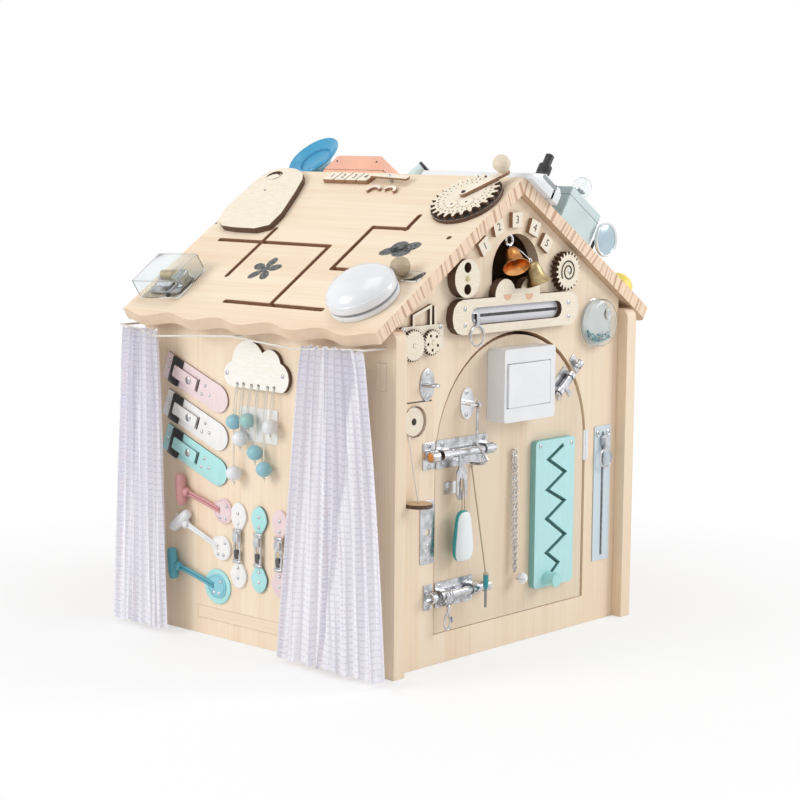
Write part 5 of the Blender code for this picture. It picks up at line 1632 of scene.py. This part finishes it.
# %% Hanging a curtain
def curtain(name, top_run, foot_run, height, folds, depth, flap, seed, cut):
    """A curtain from its left and right ends at the top and at the foot, and its flat width."""
    columns, rows = 200, 90
    deselect()
    bpy.ops.mesh.primitive_grid_add(x_subdivisions=columns, y_subdivisions=rows, size=1)
    piece = named(name)
    bpy.ops.object.mode_set(mode="EDIT")
    form = bmesh.from_edit_mesh(piece.data)
    cloth_map = form.loops.layers.uv.active or form.loops.layers.uv.new("cloth")
    shares = {corner: (corner.co.x + 0.5, 0.5 - corner.co.y) for corner in form.verts}
    drift = Random(seed)
    sway = [
        (drift.uniform(0.6, 2.4), drift.uniform(0, 2 * pi), drift.uniform(0.10, 0.22)) for _ in range(3)
    ]
    low, high = height
    for corner, (u, v) in shares.items():
        bend = sum(size * sin(2 * pi * rate * u + start + v * 1.6) for rate, start, size in sway)
        wave = 2 * pi * folds * u + bend * 2.2
        opened = v**0.7
        left, right = (top_run[i] + (foot_run[i] - top_run[i]) * opened for i in (0, 1))
        across = left + (right - left) * u + 0.0016 * cos(wave) * (1 - v)
        gather = depth[0] + (depth[1] - depth[0]) * opened
        out = 0.0330 + gather * sin(wave) + 0.0012 * sin(wave * 2.3 + 5 * v)
        if flap:
            over = 1 / (1 + 2.718 ** (-(u - 0.86 + 0.42 * v) * 46))
            out += 0.0042 * (over - 0.5)
            across -= 0.0050 * (over * (1 - over)) * 4
        hem = 0.0018 * sin(2 * pi * folds * u * 1.5) * v**8 + 0.0030 * abs(sin(wave)) * (1 - v) ** 20
        corner.co = (across, high - (high - low) * v + hem, out)
    for face in form.faces:
        for loop in face.loops:
            u, v = shares[loop.vert]
            loop[cloth_map].uv = (u * cut, v * (high - low))
    bmesh.update_edit_mesh(piece.data)
    bpy.ops.object.mode_set(mode="OBJECT")
    bpy.ops.object.shade_smooth()
    return put_on(coat(piece, curtain_cloth), left_side)


def hang(piece, cut, height, node_name):
    length = height[1] - height[0]
    area = sum(face.area for face in piece.data.polygons)
    settle(piece, "house", "cloth", [node_name])
    print(
        node_name, "cut", cut, "x", round(length, 3), "folded area share", round(area / cut / length, 3)
    )


tall = (0.0060, 0.3700)
near_foot, near_cut = (0.0535, 0.2310), 0.222
near_curtain = curtain(
    "gauze_right", (0.0950, 0.1900), near_foot, tall, 8, (0.0052, 0.0034), True, 5, near_cut
)
hang(near_curtain, near_cut, tall, "curtain_right")
far_foot, far_cut = (-0.2320, -0.1345), 0.146
far_curtain = curtain(
    "gauze_left", (-0.2085, -0.1530), far_foot, tall, 6, (0.0050, 0.0034), False, 9, far_cut
)
hang(far_curtain, far_cut, tall, "curtain_left")

# %% [markdown]
# ## The push lamp and the wooden knob
#
# The round lamp is pressed to light. It is one white moulding: a base ring, a narrow gap, a
# side band and a glossy, gently domed top. A wooden ball knob stands behind it.

# %% Push lamp
lamp_profile = [
    (0, 0.0262), (0.0110, 0.0257), (0.0210, 0.0240), (0.0300, 0.0208), (0.0356, 0.0172), (0.0392, 0.0134)
]
lamp_profile += [(0.0406, 0.0112), (0.0410, 0.0104), (0.0417, 0.0100), (0.0420, 0.0092), (0.0420, 0.0008)]
lamp_profile += [(0.0412, 0.0002), (0, 0.0002)]
lamp_white = plastic("lamp_white", (0.800, 0.810, 0.835), 0.20, 0.02, Coat_Weight=0.3)
lamp_top = turned("lamp_dome", lamp_profile, 96)
dress(
    put_on(lamp_top, left_slope, 0.1540, -0.2484, 0.0093),
    lamp_white,
    "push_lamp",
    "white_plastic",
    ["push_lamp"],
)
base_profile = [
    (0, 0.0050),
    (0.0392, 0.0050),
    (0.0400, 0.0060),
    (0.0412, 0.0060),
    (0.0420, 0.0050),
    (0.0420, 0.0006),
    (0, 0.0004),
]
lamp_foot = turned("lamp_foot", base_profile, 96)
dress(put_on(lamp_foot, left_slope, 0.1540, -0.2484), lamp_white, "house", "white_plastic", ["lamp_base"])
def ball_wood(name, colour):
    """Plain turned wood with fine lines, for knobs."""
    made = finish(name, colour, 0.5)
    lines = noise(made, 1.0, place_on(made, (60, 60, 600)), 3.0, 0.6)
    link(
        made,
        blend(made, between(made, lines, 0.35, 0.7), colour, tuple(c * 0.80 for c in colour)),
        "Base Color",
    )
    bump(made, lines, 0.15, 0.0002)
    return made


knob_wood = ball_wood("knob_wood", (0.500, 0.400, 0.280))
knob_profile = [
    (0, 0.0235), (0.0046, 0.0227), (0.0085, 0.0203), (0.0110, 0.0168), (0.0118, 0.0125), (0.0109, 0.0080)
]
knob_profile += [(0.0084, 0.0045), (0.0050, 0.0022), (0.0044, 0.0004), (0, 0.0004)]
dress(
    put_on(turned("maze_knob", knob_profile, 40), left_slope, 0.1740, -0.1985), knob_wood, "house", "pine"
)
slide = flat_board("maze_slide", rounded(0.024, 0.018, 0.0015, 4), 0.0002, 0.0022, 0.0004)
dress(put_on(slide, left_slope, 0.1905, -0.2010), clear, "house", "clear_plastic")
print("lamp and knob")

# %% [markdown]
# ## The music box
#
# A clear case shows a small winding mechanism: a comb, a pinned drum and a few gears. The case is
# a box with thin walls. Its crank is a bent wire with a black knob at the lower edge.

# %% Music box
deselect()
bpy.ops.mesh.primitive_cube_add(size=1)
music_case = named("music_case")
music_case.scale = (0.0655, 0.0575, 0.0258)
apply_place(music_case)
thin = music_case.modifiers.new("wall", "SOLIDIFY")
thin.thickness = 0.0016
thin.offset = -1
apply_modifiers(music_case)
soften(music_case, 0.0007, 2)
coat(moved(music_case, z=0.0134), clear)
works = []
grey_metal = metal("grey_metal", (0.52, 0.55, 0.57), (0.24, 0.26, 0.28), 0.25, 0.45, 160.0)
works.append(
    coat(
        moved(
            flat_board("works_bed", rounded(0.048, 0.034, 0.002, 4), 0.0022, 0.0048, 0.0004),
            0.003,
            -0.004,
        ),
        grey_metal,
    )
)
comb = flat_board("works_comb", rounded(0.0010, 0.014, 0.0002, 2), 0.0088, 0.0100, 0.0001, 1)
works.append(coat(moved(repeat(comb, 18, (0.0014, 0, 0)), -0.0120, -0.0090), steel))
drum_profile = [
    (0, -0.0145), (0.0058, -0.0145), (0.0064, -0.0138), (0.0064, 0.0138), (0.0058, 0.0145), (0, 0.0145)
]
works.append(
    coat(moved(turned("works_drum", drum_profile, 40), 0.0000, 0.0040, 0.0112, (0, pi / 2, 0)), brass)
)
block = flat_board("works_block", rounded(0.013, 0.018, 0.001, 3), 0.0046, 0.0180, 0.0006)
works.append(coat(moved(block, 0.0225, -0.002), grey_metal))
fly = flat_board("works_gear", rounded(0.015, 0.015, 0.005, 5), 0.0048, 0.0075, 0.0003)
works.append(coat(moved(fly, -0.0190, 0.0090), grey_metal))
crank_run = [
    (0.0225, -0.010, 0.0110),
    (0.0225, -0.0330, 0.0110),
    (0.0225, -0.0372, 0.0118),
    (0.0262, -0.0375, 0.0125),
]
works.append(coat(bent_wire("works_crank", crank_run, 0.0010), grey_metal))
works.append(coat(moved(ball("works_knob", 0.0030, segments=20), 0.0290, -0.0375, 0.0128), black))
music = join("music_box_whole", [music_case] + works)
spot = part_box("music_box")
music_place = ((spot[0] + spot[1]) / 2 - RIDGE).dot(Vector((cos(PITCH), 0, sin(PITCH))))
settle(
    put_on(music, left_slope, -0.1695, music_place, 0, radians(4)),
    "house",
    "clear_plastic",
    ["music_box"],
)
print("music box at", round(music_place, 4), "down the slope")

# %% [markdown]
# ## Marks and cut-outs on the roof
#
# Two dark marks are burnt into the roof between the slots: a plain flower of five petals, and a
# small cloud of four lobes. The cover plate has a half-moon cut-out. Near the ridge turns a small
# two-bladed propeller over two arched offcuts.

# %% Burnt marks
burnt_grey = finish("burnt_grey", (0.135, 0.140, 0.142), 0.8)
smoke = noise(burnt_grey, 320.0, place_on(burnt_grey), 3.0)
link(
    burnt_grey,
    blend(
        burnt_grey, between(burnt_grey, smoke, 0.35, 0.65), (0.050, 0.052, 0.054), (0.215, 0.220, 0.222)
    ),
    "Base Color",
)


def burnt(name, width, height, across, up, lean):
    mark = flat_board(name, oval(width, height, 40), -0.0001, 0.0002, 0)
    return coat(moved(mark, across, up, 0, (0, 0, radians(lean))), burnt_grey)


flower_place = (-0.0450, -0.2060)
flower = [burnt("flower", 0.012, 0.012, *flower_place, 0)]
for angle in range(0, 360, 72):
    petal_across = flower_place[0] - 0.0140 * sin(radians(angle))
    petal_up = flower_place[1] + 0.0140 * cos(radians(angle))
    flower.append(burnt("petal", 0.0125, 0.0190, petal_across, petal_up, angle))
settle(put_on(join("burnt_flower", flower), left_slope), "house", "pine")
lobes = [
    (0.1175, -0.1560, 0.026, 0.015, 24),
    (0.1270, -0.1470, 0.024, 0.022, 0),
    (0.1440, -0.1455, 0.026, 0.017, 26),
    (0.1370, -0.1570, 0.026, 0.017, 10),
]
cloud_mark = [
    burnt("lobe", wide, tall_part, across, up, lean) for across, up, wide, tall_part, lean in lobes
]
settle(put_on(join("burnt_cloud", cloud_mark), left_slope), "house", "pine")

# %% Cut-outs of the cover plate
moon_line = arc(0, 0, 0.0110, radians(0), radians(180), 24) + arc(
    0, 0.0015, 0.0085, radians(172), radians(8), 18
)
hollow = flat_board("plate_moon", oval(0.0235, 0.0125, 40), 0.0079, 0.0083, 0)
coat(hollow, tile_roof)
# The dark crescent along the cut-out's upper rim is its painted shadow.
shadow_line = coat(flat_board("plate_moon_shadow", moon_line, 0.0082, 0.0086, 0), ink)
shadow_line.scale = (1, 0.55, 1)
apply_place(shadow_line)
moon = join("plate_moon", [hollow, shadow_line])
settle(put_on(moon, left_slope, -0.1825, -0.0255, 0, radians(14)), "house", "plywood")
for across, up, out in ((-0.1713, -0.0560, 0.0080), (-0.1942, -0.1312, 0.0080)):
    nick = flat_board("plate_nick", [(-0.0024, 0.0012), (0.0024, 0.0012), (0, -0.0016)], 0, 0.0003, 0)
    dress(put_on(nick, left_slope, across, up, out), ink, "house", "plywood")

# %% Propeller
blade = [
    (-0.0315, -0.0035),
    (0.0315, -0.0035),
    (0.0335, 0),
    (0.0315, 0.0035),
    (0.006, 0.0048),
    (0, 0.0052),
    (-0.006, 0.0048),
    (-0.0315, 0.0035),
    (-0.0335, 0),
]
propeller = coat(flat_board("propeller", blade, 0.0062, 0.0094, 0.0004), tile_roof)
pin = coat(
    turned(
        "propeller_pin",
        [(0, 0.0112), (0.0016, 0.0110), (0.0026, 0.0100), (0.0026, 0.0002), (0, 0.0002)],
        24,
    ),
    steel,
)
propeller = join("propeller", [propeller, pin])
settle(put_on(propeller, left_slope, 0.0158, -0.0178, 0, radians(-4)), "house", "plywood")
for across, turn_by in ((0.0035, 8), (0.0290, -18)):
    bow = arc(0, 0, 0.0115, radians(20), radians(172), 20) + arc(
        0, -0.001, 0.0078, radians(172), radians(20), 20
    )
    arch = coat(flat_board("offcut", bow, 0.0002, 0.0042, 0.0003), tile_roof)
    settle(put_on(arch, left_slope, across, -0.0420, 0, radians(turn_by)), "house", "plywood")
print("marks, cut-outs and propeller")

# %% [markdown]
# ## The spinner and its crank
#
# The toothed spinner shows a dark ring between its teeth, rows of small burnt ticks and two small
# gears on its face. A flat arm turns over it and ends in a pale ball knob. The arm's sides are
# scorched like those of the other plywood pieces.


# %% Spinner's face
def toothed(radius, root, teeth):
    points = []
    for i in range(teeth * 4):
        reach = radius if i % 4 in (1, 2) else root
        points.append((reach * cos(pi * i / (teeth * 2)), reach * sin(pi * i / (teeth * 2))))
    return points


def ticks(count, radius, size):
    row = []
    for i in range(count):
        angle = 2 * pi * i / count
        tick = flat_board(
            "tick",
            [(-size * 0.5, -size), (size * 0.5, -size), (size * 0.2, size), (-size * 0.2, size)],
            0.0100,
            0.0103,
            0,
        )
        row.append(
            coat(moved(tick, radius * cos(angle), radius * sin(angle), 0, (0, 0, angle - pi / 2)), ink)
        )
    return row


dark_ring = coat(
    turned(
        "dark_ring",
        [(0.030, 0.0050), (0.030, 0.0053), (0.0446, 0.0053), (0.0446, 0.0050)],
        64,
        closed=True,
    ),
    ink,
)
spinner_bits = [dark_ring] + ticks(36, 0.0335, 0.0013) + ticks(24, 0.0265, 0.0010)
for radius, teeth, x, y in ((0.0105, 14, 0.0120, -0.0135), (0.0085, 12, -0.0065, -0.0190)):
    top_gear = flat_board("top_gear", toothed(radius, radius * 0.80, teeth), 0.0100, 0.0104, 0)
    spinner_bits.append(coat(moved(top_gear, x, y), tile_roof))
    gear_pin = turned("top_gear_pin", [(0, 0.0107), (0.0014, 0.0106), (0.0018, 0.0103), (0, 0.0103)], 16)
    spinner_bits.append(coat(moved(gear_pin, x, y), ink))
settle(put_on(join("spinner_face", spinner_bits), left_slope, 0.1635, -0.0539), "gear_spinner", "plywood")

# %% Crank arm and knob
arm = coat(
    moved(flat_board("crank_arm", rounded(0.065, 0.0110, 0.0053, 8), 0.0003, 0.0042, 0.0003), 0.027),
    tile_roof,
)
knob_line = [
    (0, 0.0257), (0.0040, 0.0249), (0.0075, 0.0227), (0.0098, 0.0192), (0.0107, 0.0150), (0.0098, 0.0108)
]
knob_line += [(0.0076, 0.0075), (0.0044, 0.0053), (0.0038, 0.0042), (0, 0.0042)]
pale_wood = ball_wood("pale_wood", (0.830, 0.715, 0.560))
crank_knob = coat(moved(turned("crank_ball", knob_line, 48), 0.054), pale_wood)
arm_pin = coat(turned("arm_pin", [(0, 0.0056), (0.0020, 0.0053), (0.0030, 0.0042), (0, 0.0042)], 20), ink)
crank = join("crank_whole", [arm, crank_knob, arm_pin])
settle(
    put_on(crank, left_slope, 0.1635, -0.0539, 0.0106, radians(54)),
    "spinner_crank",
    "plywood",
    ["spinner_crank"],
)
print("spinner with", len(spinner_bits), "marks and gears")

# %% [markdown]
# ## The horn, the slab and the box
#
# Behind the ridge stand a blue flared dish on a stem, a peach slab with slanted ends, and a pale
# box with a lid and a clear dome. The dish and stem are turned. The slab is its end view, pulled
# out to its length, with two small holes on the near side.

# %% Horn
dish_profile = [
    (0, -0.0086),
    (0.0196, -0.0086),
    (0.0210, -0.0076),
    (0.0217, -0.0052),
    (0.0226, -0.0042),
    (0.0238, -0.0050),
]
dish_profile += [
    (0.0262, -0.0042),
    (0.0312, -0.0020),
    (0.0356, 0.0008),
    (0.0366, 0.0010),
    (0.0370, 0.0003),
    (0.0362, -0.0014),
]
dish_profile += [
    (0.0318, -0.0046),
    (0.0260, -0.0074),
    (0.0205, -0.0118),
    (0.0170, -0.0165),
    (0.0150, -0.0205),
    (0, -0.0212),
]
dish = turned("horn_dish", dish_profile, 96)
aim = Vector((-0.642, 0.075, 0.762)).normalized()
dish.matrix_world = Matrix.Translation(
    (0.0400, 0.1798, 0.5579)
) @ Vector((0, 0, 1)).rotation_difference(aim).to_matrix().to_4x4()
apply_place(dish)
stem_profile = [
    (0, 0.0345),
    (0.0072, 0.0335),
    (0.0084, 0.0280),
    (0.0098, 0.0160),
    (0.0112, 0.0060),
    (0.0120, 0.0012),
    (0.0120, 0.0004),
    (0, 0.0004),
]
stem = put_on(turned("horn_stem", stem_profile, 48), right_slope, 0.1743, -0.0438)
horn_blue = plastic("horn_blue", (0.055, 0.355, 0.600), 0.18, 0.03)
dress(join("horn_whole", [dish, stem]), horn_blue, "house", "blue_plastic", ["horn"])

# %% Slab
slab_line = [
    (-0.0525, 0.0004),
    (-0.0525, 0.0120),
    (-0.0380, 0.0335),
    (0.0380, 0.0335),
    (0.0525, 0.0120),
    (0.0525, 0.0004),
]
slab = moved(flat_board("slab_body", slab_line[::-1], -0.0350, 0.0350, 0.0022, 3), tilt=(pi / 2, 0, 0))
coat(slab, peach)
slab_bits = [slab]
for x in (-0.0345, 0.0345):
    hole = coat(flat_board("slab_hole", oval(0.0024, 0.0024, 16), -0.0002, 0.0003, 0), ink)
    slab_bits.append(moved(hole, x, 0.0351, 0.0240, (-pi / 2, 0, 0)))
seam = coat(
    flat_board(
        "slab_seam", [(-0.0527, 0), (0.0527, 0), (0.0527, 0.0005), (-0.0527, 0.0005)], -0.0351, 0.0351, 0
    ),
    ink,
)
slab_bits.append(moved(seam, z=0.0112, tilt=(pi / 2, 0, 0)))
settle(
    put_on(join("slab_whole", slab_bits), right_slope, 0.0804, -0.0468),
    "house",
    "peach_plastic",
    ["slab"],
)

# %% Box lid line and dome
lid_line = flat_board("lid_line", rounded(0.0802, 0.0702, 0.0030, 4), 0.0362, 0.0367, 0)
dress(put_on(lid_line, right_slope, -0.1635, -0.1287 + 0.0), ink, "house", "grey_blue_plastic")
dome_profile = [
    (0, 0.0300), (0.0052, 0.0288), (0.0092, 0.0258), (0.0116, 0.0212), (0.0118, 0.0160), (0.0104, 0.0110)
]
dome_profile += [
    (0.0082, 0.0074),
    (0.0080, 0.0004),
    (0.0070, 0.0004),
    (0.0072, 0.0078),
    (0.0094, 0.0116),
    (0.0107, 0.0162),
]
dome_profile += [(0.0105, 0.0208), (0.0082, 0.0250), (0.0046, 0.0276), (0, 0.0286)]
bulb = coat(turned("box_dome", dome_profile, 48), clear)
filament = coat(
    moved(flat_board("dome_mirror", rounded(0.010, 0.013, 0.002, 3), 0.0110, 0.0130, 0.0003), 0.001),
    grey_metal,
)
settle(
    put_on(join("box_dome", [bulb, filament]), right_slope, -0.1900, -0.1240, 0.0472),
    "house",
    "clear_plastic",
)
print("horn, slab and box")

# %% [markdown]
# ## The mirror
#
# A small round mirror faces the front. Its glass is slightly domed and held by a thick bright rim,
# with a boss behind it that joins it to a dark arm.

# %% Mirror
glass_profile = [
    (0, 0.0046), (0.0070, 0.0044), (0.0130, 0.0038), (0.0180, 0.0029), (0.0180, 0.0012), (0, 0.0012)
]
glass = coat(turned("mirror_pane", glass_profile, 72), mirror_glass)
rim_line = [
    (0.0178, 0.0030),
    (0.0186, 0.0042),
    (0.0198, 0.0046),
    (0.0210, 0.0038),
    (0.0215, 0.0020),
    (0.0213, 0.0002),
    (0.0190, -0.0012),
    (0.0060, -0.0020),
]
rim_line += [(0.0024, -0.0026), (0.0020, -0.0066), (0, -0.0068)]
bright_rim = metal("bright_rim", (0.80, 0.82, 0.84), (0.66, 0.69, 0.72), 0.10, 0.20, 60.0)
rim = coat(turned("mirror_rim", rim_line, 72), bright_rim)
mirror_whole = moved(join("mirror_whole", [glass, rim]), 0.1648, -0.2018, 0.4612, (pi / 2, 0, 0))
settle(mirror_whole, "mirror", "mirror_glass", ["mirror"])
print("mirror of 43 mm")

# %% [markdown]
# ## Behind the ridge
#
# Four more pieces only show in part over the ridge: a white tray along the ridge with a slot in
# its front, a black two-step plug, a grey cylinder with a dark cap, and a yellow dome.

# %% White tray and plug
tray_line = [(0.0500, 0.0004), (0.0500, 0.0195), (0.0230, 0.0195), (0.0042, 0.0088), (0.0022, 0.0004)]
tray_white = plastic("tray_white", (0.840, 0.860, 0.880), 0.32, 0.02)
to_slope = (pi / 2, 0, -pi / 2)
tray = coat(moved(flat_board("tray", tray_line, -0.0870, 0.0870, 0.0008, 2), tilt=to_slope), tray_white)
tab_line = [(0.0616, 0.0004), (0.0616, 0.0140), (0.0560, 0.0195), (0.0450, 0.0195), (0.0450, 0.0004)]
tab = coat(moved(flat_board("tray_tab", tab_line, 0.0714, 0.0870, 0.0008, 2), tilt=to_slope), tray_white)
slot_mark = moved(flat_board("tray_slot", rounded(0.0310, 0.0052, 0.0025, 5), 0.0869, 0.0872, 0), 0, 0, 0)
slot_mark = coat(moved(moved(slot_mark, 0.0345, 0.0150), tilt=to_slope), grey)
settle(put_on(join("ridge_tray", [tray, tab, slot_mark]), right_slope, -0.1335), "house", "white_plastic")
plug_line = [
    (0, 0.0305),
    (0.0046, 0.0305),
    (0.0053, 0.0297),
    (0.0053, 0.0180),
    (0.0066, 0.0170),
    (0.0083, 0.0150),
    (0.0083, 0.0060),
    (0.0078, 0.0045),
]
plug_line += [(0.0083, 0.0030), (0.0083, 0), (0, 0)]
dress(
    put_on(turned("black_plug", plug_line, 40), right_slope, -0.2080, -0.0300, 0.0193),
    black,
    "house",
    "white_plastic",
)

# %% Grey cylinder and yellow dome
tube_line = [
    (0, 0.0268), (0.0072, 0.0268), (0.0082, 0.0262), (0.0084, 0.0250), (0.0084, 0.0008), (0, 0.0008)
]
tube = coat(turned("grey_tube", tube_line, 48), grey_blue)
cap_line = [
    (0, 0.0276), (0.0076, 0.0276), (0.0086, 0.0268), (0.0087, 0.0244), (0.0084, 0.0242), (0, 0.0242)
]
cap = coat(turned("grey_tube_cap", cap_line, 48), black)
tube = moved(join("grey_tube", [tube, cap]), tilt=(radians(35), 0, radians(-90)))
settle(put_on(tube, right_slope, -0.0120, -0.0225, 0.0035), "house", "grey_blue_plastic")
yellow_line = [
    (0, 0.0195),
    (0.0080, 0.0182),
    (0.0140, 0.0145),
    (0.0180, 0.0090),
    (0.0195, 0.0030),
    (0.0195, 0.0003),
    (0, 0.0003),
]
dress(
    put_on(turned("yellow_dome", yellow_line, 56), right_slope, -0.1900, -0.2580),
    yellow,
    "house",
    "white_plastic",
)
print("tray, plug, cylinder and dome")

# %% [markdown]
# ## Small clips at the corner post
#
# On the narrow strip of the gable beside the curtain, a pink and a yellow clip peep out.

# %% Two clips
for name, across, up, paint in (
    ("pink_peg", -0.1985, 0.2427, magenta), ("yellow_peg", -0.1990, 0.2010, yellow)
):
    peg = coat(flat_board(name, rounded(0.0075, 0.0145, 0.0016, 4), 0.0002, 0.0042, 0.0006), paint)
    bits = [peg]
    for y in (-0.0035, 0.0035):
        bits.append(moved(copy_of(rivet, name + "_rivet"), 0.0006, y, 0.0042))
    settle(put_on(join(name, bits), gable, across, up, 0, radians(-16)), "house", "pink_strap")
print("two clips")

# %% [markdown]
# ## Putting the models away
#
# The screw and the rivet that were copied are no part of the object, so they are removed.

# %% Remove the models
for model in (screw, rivet):
    bpy.data.objects.remove(model)
print("models removed")
